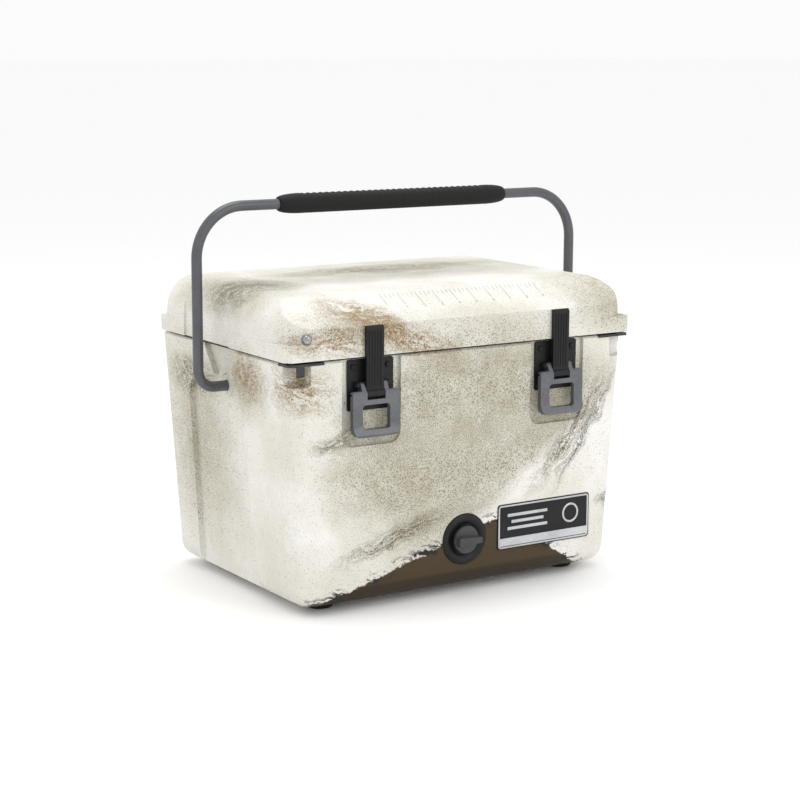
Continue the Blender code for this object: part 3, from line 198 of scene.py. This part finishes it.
def makeDippedPlastic():
    d = dipPattern
    material, tree, shader, place = newMaterial("dippedPolyethylene", 0.46)
    warp = addNode(tree, "TexNoise", {"Vector": place, "Scale": 1 / d["warpSize"], "Detail": 5.0,
                                      "Roughness": 0.62})
    off = addNode(tree, "VectorMath", {0: warp.outputs["Color"], 1: (0.5, 0.5, 0.5)}, operation="SUBTRACT")
    off = addNode(tree, "VectorMath", {0: off.outputs[0], "Scale": d["warpReach"]}, operation="SCALE")
    bent = addNode(tree, "VectorMath", {0: place, 1: off.outputs[0]}, operation="ADD").outputs[0]

    # Snow drifts under everything else
    drift = addNode(tree, "TexNoise", {"Vector": bent, "Scale": 1 / d["patchSize"], "Detail": 3.0})
    lightness = addNode(tree, "MapRange", {"Value": drift.outputs[0], "From Min": 0.35, "From Max": 0.68})
    colour = addNode(tree, "Mix", {0: lightness.outputs[0], 6: linear(d["snowShade"]),
                                   7: linear(d["snow"])}, data_type="RGBA").outputs[2]

    axes = addNode(tree, "SeparateXYZ", {0: place}).outputs
    bentAxes = addNode(tree, "SeparateXYZ", {0: bent}).outputs
    atFront = addNode(tree, "MapRange", {"Value": axes[1], "From Min": d["frontFade"][0],
                                         "From Max": d["frontFade"][1]}).outputs[0]

    def patchMask(centre, radii, turn, core):
        # Length of the point, moved, turned and divided by the radii: 1 in the core, 0 past the rim
        local = addNode(tree, "VectorMath", {0: bent, 1: centre}, operation="SUBTRACT")
        turned = addNode(tree, "VectorRotate", {"Vector": local.outputs[0], "Angle": turn},
                         rotation_type="Y_AXIS")
        scaled = addNode(tree, "VectorMath", {0: turned.outputs[0], 1: tuple(1 / r for r in radii)},
                         operation="MULTIPLY")
        far = addNode(tree, "VectorMath", {0: scaled.outputs[0]}, operation="LENGTH").outputs["Value"]
        return addNode(tree, "MapRange", {"Value": far, "From Min": d["fieldRim"],
                                          "From Max": core}).outputs[0]

    # The large sand field of the front ends below at a leaning line, and smaller fields lie elsewhere; the
    # wide one across the lid top is partly sand print and partly painted shade that greys the top
    slope, middle = d["sandLine"]
    line = addNode(tree, "Math", {0: bentAxes[0], 1: -slope, 2: -middle}, operation="MULTIPLY_ADD")
    over = addNode(tree, "Math", {0: line.outputs[0], 1: bentAxes[2]}, operation="ADD")
    over = addNode(tree, "MapRange", {"Value": over.outputs[0], "From Min": d["sandFade"][0],
                                      "From Max": d["sandFade"][1]})
    field = patchMask(*d["frontSand"], 0.0, d["frontCore"])
    sandAndTopShadeMask = addNode(tree, "Math", {0: field, 1: over.outputs[0]}, operation="MULTIPLY").outputs[0]
    for centre, radii in d["sandPatchesWithTopShade"]:
        mask = patchMask(centre, radii, 0.0, d["sandCore"])
        sandAndTopShadeMask = addNode(tree, "Math", {0: sandAndTopShadeMask, 1: mask}, operation="MAXIMUM").outputs[0]
    cloudy = addNode(tree, "MapRange", {"Value": warp.outputs[0], "From Min": 0.35, "From Max": 0.65,
                                        "To Min": 0.50, "To Max": 0.95})
    softSandAndTopShade = addNode(tree, "Math", {0: sandAndTopShadeMask, 1: cloudy.outputs[0]}, operation="MULTIPLY").outputs[0]
    colour = addNode(tree, "Mix", {0: softSandAndTopShade, 6: colour, 7: linear(d["sand"])},
                     data_type="RGBA").outputs[2]

    # Speckle: grain above a threshold that falls where there is sand, so that sand carries more
    grain = addNode(tree, "TexNoise", {"Vector": place, "Scale": 1 / d["speckSize"], "Detail": 1.5})
    amount = addNode(tree, "MapRange", {"Value": sandAndTopShadeMask, "To Min": 0.62, "To Max": 0.50})
    specks = addNode(tree, "Math", {0: grain.outputs[0], 1: amount.outputs[0]}, operation="SUBTRACT")
    specks = addNode(tree, "Math", {0: specks.outputs[0], 1: d["speckStrength"]}, operation="MULTIPLY",
                     use_clamp=True)
    specks = addNode(tree, "Math", {0: specks.outputs[0], 1: d["speckInk"]}, operation="MULTIPLY")
    colour = addNode(tree, "Mix", {0: specks.outputs[0], 6: colour, 7: linear(d["speck"])},
                     data_type="RGBA").outputs[2]

    # Bark and twig strokes: noise drawn out along the strokes, kept inside its patches
    for centre, radii, turn, tone in d["strokePatches"]:
        turned = addNode(tree, "VectorRotate", {"Vector": bent, "Angle": turn}, rotation_type="Y_AXIS")
        long = addNode(tree, "VectorMath", {0: turned.outputs[0], 1: d["strokeGrain"]}, operation="MULTIPLY")
        hairs = addNode(tree, "TexNoise", {"Vector": long.outputs[0], "Scale": 1.0, "Detail": 6.0,
                                           "Roughness": 0.7})
        mask = patchMask(centre, radii, turn, d["strokeCore"])
        inked = addNode(tree, "MapRange", {"Value": hairs.outputs[0], "From Min": 0.41, "From Max": 0.53})
        broken = addNode(tree, "MapRange", {"Value": grain.outputs[0], "From Min": 0.36, "From Max": 0.52,
                                            "To Min": 0.25, "To Max": 0.95})
        inked = addNode(tree, "Math", {0: inked.outputs[0], 1: broken.outputs[0]}, operation="MULTIPLY")
        inked = addNode(tree, "Math", {0: inked.outputs[0], 1: mask}, operation="MULTIPLY")
        colour = addNode(tree, "Mix", {0: inked.outputs[0], 6: colour, 7: linear(d[tone])},
                         data_type="RGBA").outputs[2]

    # The dark bark along the foot of the front: two slopes that meet at a peak, with a torn edge
    torn = addNode(tree, "TexNoise", {"Vector": place, "Scale": 1 / d["tornSize"], "Detail": 8.0,
                                      "Roughness": 0.72})
    slopes = []
    for slope, sign in ((d["edgeLeft"], 1), (d["edgeRight"], -1)):
        run = addNode(tree, "Math", {0: axes[0], 1: d["edgePeak"][0]}, operation="SUBTRACT")
        slopes.append(addNode(tree, "Math", {0: run.outputs[0], 1: sign * slope, 2: d["edgePeak"][1]},
                              operation="MULTIPLY_ADD").outputs[0])
    height = addNode(tree, "Math", {0: slopes[0], 1: slopes[1]}, operation="MINIMUM").outputs[0]
    ragged = addNode(tree, "Math", {0: torn.outputs[0], 1: d["tornDepth"], 2: -d["tornDepth"] / 2},
                     operation="MULTIPLY_ADD")
    height = addNode(tree, "Math", {0: height, 1: ragged.outputs[0]}, operation="ADD").outputs[0]
    below = addNode(tree, "Math", {0: height, 1: axes[2]}, operation="SUBTRACT").outputs[0]
    barkMask = addNode(tree, "MapRange", {"Value": below, "From Min": 0.0,
                                          "From Max": d["barkFade"]}).outputs[0]
    barkMask = addNode(tree, "Math", {0: barkMask, 1: atFront}, operation="MULTIPLY").outputs[0]
    streaks = addNode(tree, "VectorMath", {0: bent, 1: d["barkGrain"]}, operation="MULTIPLY")
    streaks = addNode(tree, "TexNoise", {"Vector": streaks.outputs[0], "Scale": 1.0, "Detail": 5.0})
    # Darker towards the bottom: the lowest band of the bark is painted shade along the foot of the front
    footShadeBand = addNode(tree, "MapRange", {"Value": axes[2], "From Min": d["footShadeBand"][0],
                                          "From Max": d["footShadeBand"][1]}).outputs[0]
    barkWithFootShade = addNode(tree, "Mix", {0: footShadeBand, 6: linear(d["barkFootShade"]), 7: linear(d["bark"])},
                       data_type="RGBA").outputs[2]
    colour = addNode(tree, "Mix", {0: barkMask, 6: colour, 7: barkWithFootShade}, data_type="RGBA").outputs[2]
    rim = addNode(tree, "Math", {0: below}, operation="ABSOLUTE").outputs[0]
    rim = addNode(tree, "MapRange", {"Value": rim, "From Min": d["chipReach"][0],
                                     "From Max": d["chipReach"][1]}).outputs[0]
    rim = addNode(tree, "Math", {0: rim, 1: atFront}, operation="MULTIPLY").outputs[0]
    chips = addNode(tree, "MapRange", {"Value": streaks.outputs[0], "From Min": 0.53, "From Max": 0.57})
    chips = addNode(tree, "Math", {0: chips.outputs[0], 1: rim}, operation="MULTIPLY").outputs[0]
    colour = addNode(tree, "Mix", {0: chips, 6: colour, 7: linear(d["char"])}, data_type="RGBA").outputs[2]

    # The dip reaches the outside only: within the gasket's outline and above the floor it is plain white
    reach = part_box("lid_gasket")[1]
    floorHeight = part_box("tub_fill_plug")[1].z + d["floorLift"]
    within = []
    for axis in (0, 1):
        away = addNode(tree, "Math", {0: axes[axis]}, operation="ABSOLUTE").outputs[0]
        within.append(addNode(tree, "Math", {0: away, 1: reach[axis]}, operation="LESS_THAN").outputs[0])
    within.append(addNode(tree, "Math", {0: axes[2], 1: floorHeight}, operation="GREATER_THAN").outputs[0])
    within.append(addNode(tree, "Math", {0: axes[2], 1: reach[2]}, operation="LESS_THAN").outputs[0])
    insideMask = within[0]
    for part in within[1:]:
        insideMask = addNode(tree, "Math", {0: insideMask, 1: part}, operation="MULTIPLY").outputs[0]
    colour = addNode(tree, "Mix", {0: insideMask, 6: colour, 7: linear(d["inside"])},
                     data_type="RGBA").outputs[2]

    tree.links.new(colour, shader.inputs["Base Color"])
    pebble = addNode(tree, "TexNoise", {"Vector": place, "Scale": 1 / d["pebbleSize"], "Detail": 2.0})
    bump = addNode(tree, "Bump", {"Height": pebble.outputs[0], "Strength": 0.10,
                                  "Distance": d["pebbleDepth"]})
    tree.links.new(bump.outputs[0], shader.inputs["Normal"])
    gloss = addNode(tree, "MapRange", {"Value": drift.outputs[0], "To Min": 0.40, "To Max": 0.54})
    tree.links.new(gloss.outputs[0], shader.inputs["Roughness"])
    return material


# Every other finish: two close tones mixed by grain, the grain's size in metres, its stretch along X, as
# brushing gives, roughness, metal and bump strength
finishes = {
    # Injection-moulded nylon with glass fibre: black, dull, faintly mottled
    "blackNylon": ("#0a0a0a", "#121212", 0.0009, 1, 0.50, 0.0, 0.12),
    # The same nylon in grey, a little smoother
    "greyNylon": ("#3c3c3c", "#4b4b4b", 0.0009, 1, 0.46, 0.0, 0.10),
    # Moulded rubber: very dull, with a soft grain
    "blackRubber": ("#050505", "#0b0b0b", 0.0012, 1, 0.66, 0.0, 0.22),
    # Powder-coated steel tube: dark grey satin with orange peel
    "powderCoat": ("#55565a", "#606165", 0.0022, 1, 0.34, 0.35, 0.08),
    # Die-cast zinc, tumbled and lacquered: grey satin, slightly cloudy
    "castAlloy": ("#636468", "#707175", 0.0030, 1, 0.33, 0.65, 0.06),
    # Stainless steel, rolled and brushed
    "brushedSteel": ("#8f9092", "#b4b5b7", 0.0006, 14, 0.30, 1.0, 0.05),
    # Darkened steel of the lock plates
    "darkSteel": ("#3f4041", "#4c4d4e", 0.0008, 8, 0.36, 0.8, 0.05),
    # Polyurethane foam: pale yellow, open-celled
    "urethaneFoam": ("#dcd0a0", "#ece3bd", 0.0014, 1, 0.90, 0.0, 0.50),
    # Marks of the inch scale: the lid's plastic, a little greyer as painted shade that makes the raised
    # marks show
    "scalePaintedShade": ("#c4c4be", "#d0d0ca", 0.0009, 1, 0.50, 0.0, 0.05),
    # Badge: pressed aluminium, bright on the rim and lacquered dark in the field
    "badgeBright": ("#b0b1b3", "#c8c9cb", 0.0007, 10, 0.30, 0.9, 0.04),
    "badgeDark": ("#1a1a1b", "#242425", 0.0007, 10, 0.42, 0.4, 0.04),
}
wearSize, wearSpread = 0.035, 0.07   # m, one cloud of wear, and how far it moves the roughness each way


def makeFinish(name, dark, light, grainSize, stretch, roughness, metallic, bumpStrength):
    material, tree, shader, place = newMaterial(name, roughness, metallic)
    drawn = addNode(tree, "VectorMath", {0: place, 1: (1 / stretch, 1.0, 1.0)}, operation="MULTIPLY")
    grain = addNode(tree, "TexNoise", {"Vector": drawn.outputs[0], "Scale": 1 / grainSize, "Detail": 3.0})
    wear = addNode(tree, "TexNoise", {"Vector": place, "Scale": 1 / wearSize, "Detail": 4.0})
    tone = addNode(tree, "Math", {0: grain.outputs[0], 1: wear.outputs[0]}, operation="ADD")
    tone = addNode(tree, "MapRange", {"Value": tone.outputs[0], "From Min": 0.75, "From Max": 1.25})
    colour = addNode(tree, "Mix", {0: tone.outputs[0], 6: linear(dark), 7: linear(light)}, data_type="RGBA")
    tree.links.new(colour.outputs[2], shader.inputs["Base Color"])
    rough = addNode(tree, "MapRange", {"Value": wear.outputs[0], "To Min": roughness - wearSpread,
                                       "To Max": roughness + wearSpread})
    tree.links.new(rough.outputs[0], shader.inputs["Roughness"])
    bump = addNode(tree, "Bump", {"Height": grain.outputs[0], "Strength": bumpStrength,
                                  "Distance": grainSize / 3})
    tree.links.new(bump.outputs[0], shader.inputs["Normal"])
    return material


materials = {name: makeFinish(name, *values) for name, values in finishes.items()}
materials["dippedPolyethylene"] = makeDippedPlastic()
print("materials made:", len(materials))

# Finish of each node by how its name starts; the first match holds
finishOf = [("tub_shell", "dippedPolyethylene"), ("lid_shell", "dippedPolyethylene"),
            ("bail_bush", "dippedPolyethylene"), ("tub_foam", "urethaneFoam"), ("lid_foam", "urethaneFoam"),
            ("lid_gasket", "blackRubber"), ("drain_seal", "blackRubber"), ("foot_screw", "brushedSteel"),
            ("foot_", "blackRubber"), ("bail_grip", "blackRubber"), ("bail_rod", "powderCoat"),
            ("latch_lever", "castAlloy"), ("drain_plug", "greyNylon"), ("lock_plate_screw", "brushedSteel"),
            ("lock_plate", "darkSteel"), ("badge", "badgeDark"), ("lid_vent_screw", "brushedSteel"),
            ("hinge_pin", "brushedSteel"), ("latch_pivot_pin", "brushedSteel"),
            ("latch_link_pin", "brushedSteel"), ("hinge_tub_screw", "brushedSteel"),
            ("hinge_lid_screw", "brushedSteel"), ("", "blackNylon")]


def finishFor(nodeName):
    return materials[next(finish for start, finish in finishOf if nodeName.startswith(start))]


for nodeName, item in nodes.items():
    item.data.materials.clear()
    item.data.materials.append(finishFor(nodeName))


# Softened copies of the moulded and cast pieces: the same shape with its loose triangles joined,
# its edges rounded and its curves shaded smooth. Widths are in metres
edgeRounds = {"tub_shell": 0.0016, "lid_shell": 0.0016, "latch_lever": 0.0020, "latch_base": 0.0005,
              "latch_link": 0.0006, "drain_bezel": 0.0008, "drain_plug": 0.0007, "lock_plate": 0.0004,
              "badge": 0.0003, "bail_bush": 0.0005, "foot": 0.0007, "hinge_lid_leaf": 0.0005,
              "hinge_tub_leaf": 0.0005, "drain_nut": 0.0005, "tub_fill_plug": 0.0004}
joinWithin, flatWithin, edgeSegments = 0.00001, 0.5, 3   # m, degrees, and facets across a rounded edge


def soften(nodeName, width):
    shape = bmesh.new()
    shape.from_mesh(nodes[nodeName].data)
    bmesh.ops.remove_doubles(shape, verts=shape.verts, dist=joinWithin)
    bmesh.ops.dissolve_limit(shape, angle_limit=radians(flatWithin), verts=shape.verts, edges=shape.edges)
    mesh = bpy.data.meshes.new(nodeName + "_soft")
    shape.to_mesh(mesh)
    shape.free()
    mesh.materials.append(finishFor(nodeName))
    mesh.shade_smooth()
    mesh.set_sharp_from_angle(angle=radians(sharpAngles["copy"]))
    piece = settle(bpy.data.objects.new(nodeName + "_soft", mesh), nodes[nodeName]["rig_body"])
    edge = piece.modifiers.new("edge", "BEVEL")
    edge.width = width
    edge.segments = edgeSegments
    edge.limit_method = "ANGLE"
    edge.angle_limit = radians(sharpAngles["copy"])
    edge.harden_normals = True
    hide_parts(nodeName)


for nodeName in sorted(nodes):
    if "screw" in nodeName or "_pin_" in nodeName:
        continue
    for start, width in edgeRounds.items():
        if nodeName.startswith(start):
            soften(nodeName, width)
            break
print("edges softened")


# Bail rod: a round profile carried along the bent centre line. A point is the line's point, plus the radius
# times the cosine along the line's normal and the sine along Y

bailShape = {"footBend": 0.0215, "topBend": 0.062, "intoBush": 0.001, "footSteps": 12, "topSteps": 24,
             "around": 36}


def makeBailRod():
    low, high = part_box("bail_rod")
    radius = (high.y - low.y) / 2
    half, top, foot = high.x - radius, high.z - radius, low.z + radius
    small, large = bailShape["footBend"], bailShape["topBend"]
    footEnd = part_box("bail_bush_right")[0].x + bailShape["intoBush"]
    right = np.vstack([[[footEnd, foot]],
                       arcPoints((half - small, foot + small), small, -90, 0, bailShape["footSteps"]),
                       arcPoints((half - large, top - large), large, 0, 90, bailShape["topSteps"])])
    route = np.vstack([right * (-1, 1), right[::-1]])
    along = np.gradient(route, axis=0)
    along /= np.linalg.norm(along, axis=1)[:, None]
    angle = np.linspace(0, 2 * pi, bailShape["around"], endpoint=False)
    side = np.stack([-along[:, 1], along[:, 0]], -1)
    points = np.empty((len(route), len(angle), 3))
    points[..., 0] = route[:, None, 0] + radius * np.cos(angle) * side[:, None, 0]
    points[..., 1] = radius * np.sin(angle)
    points[..., 2] = route[:, None, 1] + radius * np.cos(angle) * side[:, None, 1]
    rows, columns = points.shape[:2]
    faces = gridFaces(rows, columns)[:(rows - 1) * columns]   # the last row joins nothing; caps close it
    first, last, lastRow = rows * columns, rows * columns + 1, (rows - 1) * columns
    around = np.arange(columns)
    ring = (around + 1) % columns
    caps = [np.stack([np.full(columns, first), ring, around], -1),
            np.stack([np.full(columns, last), lastRow + around, lastRow + ring], -1)]
    mesh = bpy.data.meshes.new("bail_rod_smooth")
    centres = [[route[0, 0], 0, route[0, 1]], [route[-1, 0], 0, route[-1, 1]]]
    mesh.from_pydata(points.reshape(-1, 3).tolist() + centres, [],
                     faces.tolist() + np.vstack(caps).tolist())
    mesh.materials.append(materials["powderCoat"])
    shape = bmesh.new()
    shape.from_mesh(mesh)
    bmesh.ops.recalc_face_normals(shape, faces=shape.faces)
    shape.to_mesh(mesh)
    shape.free()
    mesh.shade_smooth()
    mesh.set_sharp_from_angle(angle=radians(sharpAngles["rod"]))
    piece = settle(bpy.data.objects.new("bail_rod_smooth", mesh), "bail")
    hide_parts("bail_rod")


# Grip: a closed profile turned about the rod. Its radius is the outer one, less a quarter ellipse at each
# end, less a cosine wave along X that fades from the top to the sides; the bore closes it

gripShape = {"endTaper": 0.030, "endDrop": 0.0048, "scallopPitch": 0.0090, "scallopDepth": 0.0009,
             "scallopFade": 0.7, "boreGap": 0.0003, "stations": 420, "around": 64}


def makeGrip():
    g = gripShape
    low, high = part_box("bail_grip")
    rodLow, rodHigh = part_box("bail_rod")
    half, outer = (high.x - low.x) / 2, (high.y - low.y) / 2
    bore = (rodHigh.y - rodLow.y) / 2 + g["boreGap"]
    centreZ = (low.z + high.z) / 2
    x = np.linspace(-half, half, g["stations"])
    fromEnd = np.clip((half - np.abs(x)) / g["endTaper"], 0, 1)
    hull = outer - g["endDrop"] * (1 - np.sqrt(1 - (1 - fromEnd) ** 2))
    angle = np.linspace(0, 2 * pi, g["around"], endpoint=False)
    upward = np.clip(np.sin(angle), 0, 1) ** g["scallopFade"]
    wave = (1 - np.cos(2 * pi * x / g["scallopPitch"])) / 2 * (fromEnd >= 1)
    skin = hull[:, None] - g["scallopDepth"] * wave[:, None] * upward[None, :]
    radius = np.vstack([skin, np.full((2, len(angle)), bore)])
    station = np.concatenate([x, [half, -half]])
    points = np.stack([np.broadcast_to(station[:, None], radius.shape), radius * np.cos(angle),
                       centreZ + radius * np.sin(angle)], -1)
    piece = makePiece("bail_grip_scalloped", points.reshape(-1, 3), gridFaces(*radius.shape)[:, ::-1],
                      materials["blackRubber"], "bail")
    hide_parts("bail_grip")


makeBailRod()
makeGrip()
print("bail made")


# Raised slabs: many small blocks in one piece, each eight corners round a centre

def blocks(centres, sizes, lift=None):
    # Corner signs times half sizes, added to each centre; lift turns them onto a slope
    signs = np.array([[x, y, z] for x in (-1, 1) for y in (-1, 1) for z in (-1, 1)]) / 2
    corners = signs[None] * np.asarray(sizes)[:, None]
    if lift is not None:
        corners = corners @ np.array(lift).T
    points = (np.asarray(centres)[:, None] + corners).reshape(-1, 3)
    cube = np.array([[0, 1, 3, 2], [4, 6, 7, 5], [0, 4, 5, 1], [2, 3, 7, 6], [0, 2, 6, 4], [1, 5, 7, 3]])
    faces = (cube[None] + 8 * np.arange(len(centres))[:, None, None]).reshape(-1, 4)
    return points, faces


# Inch scale on the lid's front slope: marks 25.4 mm apart, quarter marks along the top, plain numbers. A
# mark is a block at the slope's head, moved down by half its own length and along X by its step

scaleShape = {"firstX": -0.098, "inch": 0.0254, "inches": 9, "height": 0.0006, "mark": 0.0010,
              "long": 0.022, "short": 0.006, "halfInch": 1.5, "thin": 0.7, "numberSize": 0.0075,
              "margin": 0.007, "headBack": 0.055, "headDrop": 0.0015}


def makeScale():
    s = scaleShape
    lidLow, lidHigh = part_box("lid_shell")
    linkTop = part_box("latch_link_left")[1].z
    foot = Vector((0, lidLow.y, linkTop))
    head = Vector((0, lidLow.y + s["headBack"], lidHigh.z - s["headDrop"]))
    up = (head - foot).normalized()
    out = Vector((1, 0, 0)).cross(up).normalized()
    slope = Matrix((Vector((1, 0, 0)), -out, up)).transposed()   # columns: across, inwards, up the slope
    reach = (head - foot).length
    centres, sizes = [], []
    for step in range(4 * s["inches"] + 1):
        whole = step % 4 == 0
        length = s["long"] if whole else s["short"] * (s["halfInch"] if step % 2 == 0 else 1)
        place = foot + up * (reach - s["margin"] - length / 2)
        centres.append((s["firstX"] + step * s["inch"] / 4, place.y, place.z))
        sizes.append((s["mark"] if whole else s["mark"] * s["thin"], 2 * s["height"], length))
    points, faces = blocks(centres, sizes, slope)
    # Marks and numbers take the greyer tone: painted shade standing in for the shading of their relief
    makePiece("lid_scale_marks", points, faces, materials["scalePaintedShade"], "lid", smooth=False)
    for number in range(1, s["inches"] + 1):
        text = bpy.data.curves.new("number", "FONT")
        text.body = str(number)
        text.size = s["numberSize"]
        text.extrude = s["height"]
        text.align_x = "CENTER"
        maker = bpy.data.objects.new("number", text)
        bpy.context.scene.collection.objects.link(maker)
        mesh = bpy.data.meshes.new_from_object(maker.evaluated_get(bpy.context.evaluated_depsgraph_get()))
        bpy.data.objects.remove(maker)
        place = foot + up * (reach - s["margin"] - s["long"] - s["numberSize"])
        turn = Matrix((Vector((1, 0, 0)), up, out)).transposed().to_4x4()
        x = s["firstX"] + number * s["inch"]
        mesh.transform(Matrix.Translation((x, place.y, place.z)) @ turn)
        mesh.materials.append(materials["scalePaintedShade"])
        settle(bpy.data.objects.new(f"lid_scale_number_{number}", mesh), "lid")


# Ribs along the front of each latch strap: blocks at even steps across it, half sunk in its face. The strap
# is twice strapHalf thick about the middle of its barrel

ribShape = {"count": 5, "wide": 0.0013, "proud": 0.0006, "margin": 0.004, "endGap": 0.006,
            "aboveBarrel": 0.014, "strapHalf": 0.00225}


def makeLinkRibs(sideName):
    r = ribShape
    low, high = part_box("latch_link_" + sideName)
    middle, half = (low.x + high.x) / 2, (high.x - low.x) / 2 - r["margin"]
    face = (low.y + high.y) / 2 - r["strapHalf"]
    start, end = low.z + r["aboveBarrel"], high.z - r["endGap"]
    centres = [(middle + x, face, (start + end) / 2) for x in np.linspace(-half, half, r["count"])]
    points, faces = blocks(centres, [(r["wide"], 2 * r["proud"], end - start)] * r["count"])
    makePiece("latch_link_ribs_" + sideName, points, faces, materials["blackNylon"],
              "latch_link_" + sideName, smooth=False)


# Painted shade in the seam: a black bead between lid and tub that stands in for the shadow in the gap, a
# closed flat profile carried round the rim. Its corners draw in further than the tub's, clear of the padlock
# holes

seamShadeShape = {"inset": 0.0005, "wide": 0.007, "corner": 0.036, "bottom": 0.0003, "top": 0.0017}


def makeSeamSeal():
    s = seamShadeShape
    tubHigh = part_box("tub_shell")[1]
    outer = roundedFrame(tubHigh.x - s["inset"], tubHigh.y - s["inset"], s["corner"])
    inner = roundedFrame(tubHigh.x - s["inset"] - s["wide"], tubHigh.y - s["inset"] - s["wide"],
                         s["corner"] - s["wide"])
    low, high = tubHigh.z + s["bottom"], tubHigh.z + s["top"]
    rings = [np.column_stack([outline, np.full(len(outline), z)])
             for outline, z in ((outer, low), (outer, high), (inner, high), (inner, low))]
    points = np.stack(rings)
    # A black bead where the gap holds only shadow: painted shade
    makePiece("seam_painted_shade", points.reshape(-1, 3), gridFaces(*points.shape[:2])[:, ::-1],
              materials["blackRubber"], "tub", smooth=False)


# Badge: a low oval profile carried round its edge as a rim, a bright lower strip, and a plain mark of three
# bars and a ring, which is an oval profile turned about the ring's centre

badgeShape = {"rim": 0.0011, "inset": 0.0012, "corner": 0.004, "strip": 0.012, "stripGap": 0.002,
              "proud": 0.0004, "rimRise": 0.8, "around": 12,
              "bars": (0.062, 0.050, 0.062), "barTall": 0.0038, "barPitch": 0.0085, "barsX": -0.026,
              "ringX": 0.042, "ringRadius": 0.0115, "ringWide": 0.0014, "ringRise": 0.0006, "ringSteps": 64}


def makeBadge():
    b = badgeShape
    low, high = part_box("badge")
    centre, halfWide, halfTall = (low + high) / 2, (high.x - low.x) / 2, (high.z - low.z) / 2
    front = low.y
    outline = roundedFrame(halfWide - b["inset"], halfTall - b["inset"], b["corner"])
    inner = roundedFrame(halfWide - b["inset"] - b["rim"], halfTall - b["inset"] - b["rim"],
                         b["corner"] - b["rim"])
    inward = inner - outline
    inward /= np.linalg.norm(inward, axis=1)[:, None]
    angle = np.linspace(0, 2 * pi, b["around"], endpoint=False)
    across = outline[:, None] + inward[:, None] * (b["rim"] * (1 + np.cos(angle)))[None, :, None]
    points = np.stack([centre.x + across[..., 0],
                       np.broadcast_to(front - b["proud"] * b["rimRise"] * np.sin(angle), across.shape[:2]),
                       centre.z + across[..., 1]], -1)
    makePiece("badge_rim", points.reshape(-1, 3), gridFaces(*points.shape[:2]), materials["badgeBright"],
              "tub")

    stripZ = low.z + b["inset"] + 2 * b["rim"] + b["strip"] / 2
    wide = 2 * (halfWide - b["inset"] - 2 * b["rim"])
    points, faces = blocks([(centre.x, front, stripZ)], [(wide, 2 * b["proud"], b["strip"] - b["stripGap"])])
    makePiece("badge_strip", points, faces, materials["badgeBright"], "tub", smooth=False)

    fieldZ = (stripZ + b["strip"] / 2 + high.z - b["inset"] - 2 * b["rim"]) / 2
    bars = [(centre.x + b["barsX"], front, fieldZ + row * b["barPitch"]) for row in (-1, 0, 1)]
    points, faces = blocks(bars, [(barWide, 2 * b["proud"], b["barTall"]) for barWide in b["bars"]])
    makePiece("badge_bars", points, faces, materials["badgeBright"], "tub", smooth=False)
    turn = np.linspace(0, 2 * pi, b["ringSteps"], endpoint=False)
    ringRadius = b["ringRadius"] + b["ringWide"] * np.cos(angle)
    points = np.stack([centre.x + b["ringX"] + ringRadius[None] * np.cos(turn)[:, None],
                       np.broadcast_to(front - b["ringRise"] * np.sin(angle), (len(turn), len(angle))),
                       fieldZ + ringRadius[None] * np.sin(turn)[:, None]], -1)
    makePiece("badge_ring", points.reshape(-1, 3), gridFaces(*points.shape[:2]), materials["badgeBright"],
              "tub")


makeScale()
for sideName in ("left", "right"):
    makeLinkRibs(sideName)
makeBadge()
makeSeamSeal()
print("scale, ribs, badge and seam painted shade made")


# Floor, lights and camera

# Half the floor's side in metres, its tone and roughness, and the studio's even light
stageShape = {"half": 60, "floor": "#fdfdfd", "roughness": 0.85, "air": "#ffffff", "airStrength": 0.97}


def makeStage():
    s = stageShape
    mesh = bpy.data.meshes.new("floor")
    corners = [(x * s["half"], y * s["half"], 0) for x, y in ((-1, -1), (1, -1), (1, 1), (-1, 1))]
    mesh.from_pydata(corners, [], [(0, 1, 2, 3)])
    material, _, shader, _ = newMaterial("paleFloor", s["roughness"])
    shader.inputs["Base Color"].default_value = linear(s["floor"])
    mesh.materials.append(material)
    floor = bpy.data.objects.new("floor", mesh)
    bpy.context.scene.collection.objects.link(floor)
    world = bpy.data.worlds.new("studio")
    world.use_nodes = True
    air = world.node_tree.nodes["Background"]
    air.inputs["Color"].default_value = linear(s["air"])
    air.inputs["Strength"].default_value = s["airStrength"]
    bpy.context.scene.world = world
    bpy.context.scene.view_settings.view_transform = "Standard"   # keeps the white studio white


# Place, aim, size in metres and power in watts
studioLights = {
    "key": ((0.9, -2.6, 1.6), (0, 0, 0.2), 1.4, 11),
    "fill": ((-2.4, -1.0, 1.3), (0, 0, 0.2), 1.8, 1),
    "top": ((0.0, 0.3, 2.6), (0, 0, 0.3), 1.6, 22),
}


def makeLights():
    for name, (place, aim, size, power) in studioLights.items():
        data = bpy.data.lights.new(name, "AREA")
        data.shape = "DISK"
        data.size = size
        data.energy = power
        lamp = bpy.data.objects.new(name, data)
        lamp.location = place
        lamp.rotation_mode = "QUATERNION"
        lamp.rotation_quaternion = (Vector(aim) - Vector(place)).to_track_quat("-Z", "Y")
        bpy.context.scene.collection.objects.link(lamp)


cameraShape = {"place": (-1.3357, -2.0943, 0.676), "yaw": 32.73, "pitch": 10.44, "roll": 0.22,
               "lens": 87.65, "sensor": 36.0}


def makeCamera():
    c = cameraShape
    yaw, pitch, roll = (radians(c[key]) for key in ("yaw", "pitch", "roll"))
    ahead = Vector((sin(yaw) * cos(pitch), cos(yaw) * cos(pitch), -sin(pitch)))
    across = Vector((cos(yaw), -sin(yaw), 0))
    upward = across.cross(ahead)
    right = across * cos(roll) + upward * sin(roll)
    data = bpy.data.cameras.new("camera")
    data.lens = c["lens"]
    data.sensor_width = c["sensor"]
    camera = bpy.data.objects.new("camera", data)
    camera.matrix_world = Matrix.Translation(c["place"]) @ Matrix(
        (right, right.cross(ahead), -ahead)).transposed().to_4x4()
    bpy.context.scene.collection.objects.link(camera)
    bpy.context.scene.camera = camera


makeStage()
makeLights()
makeCamera()
print("stage set")
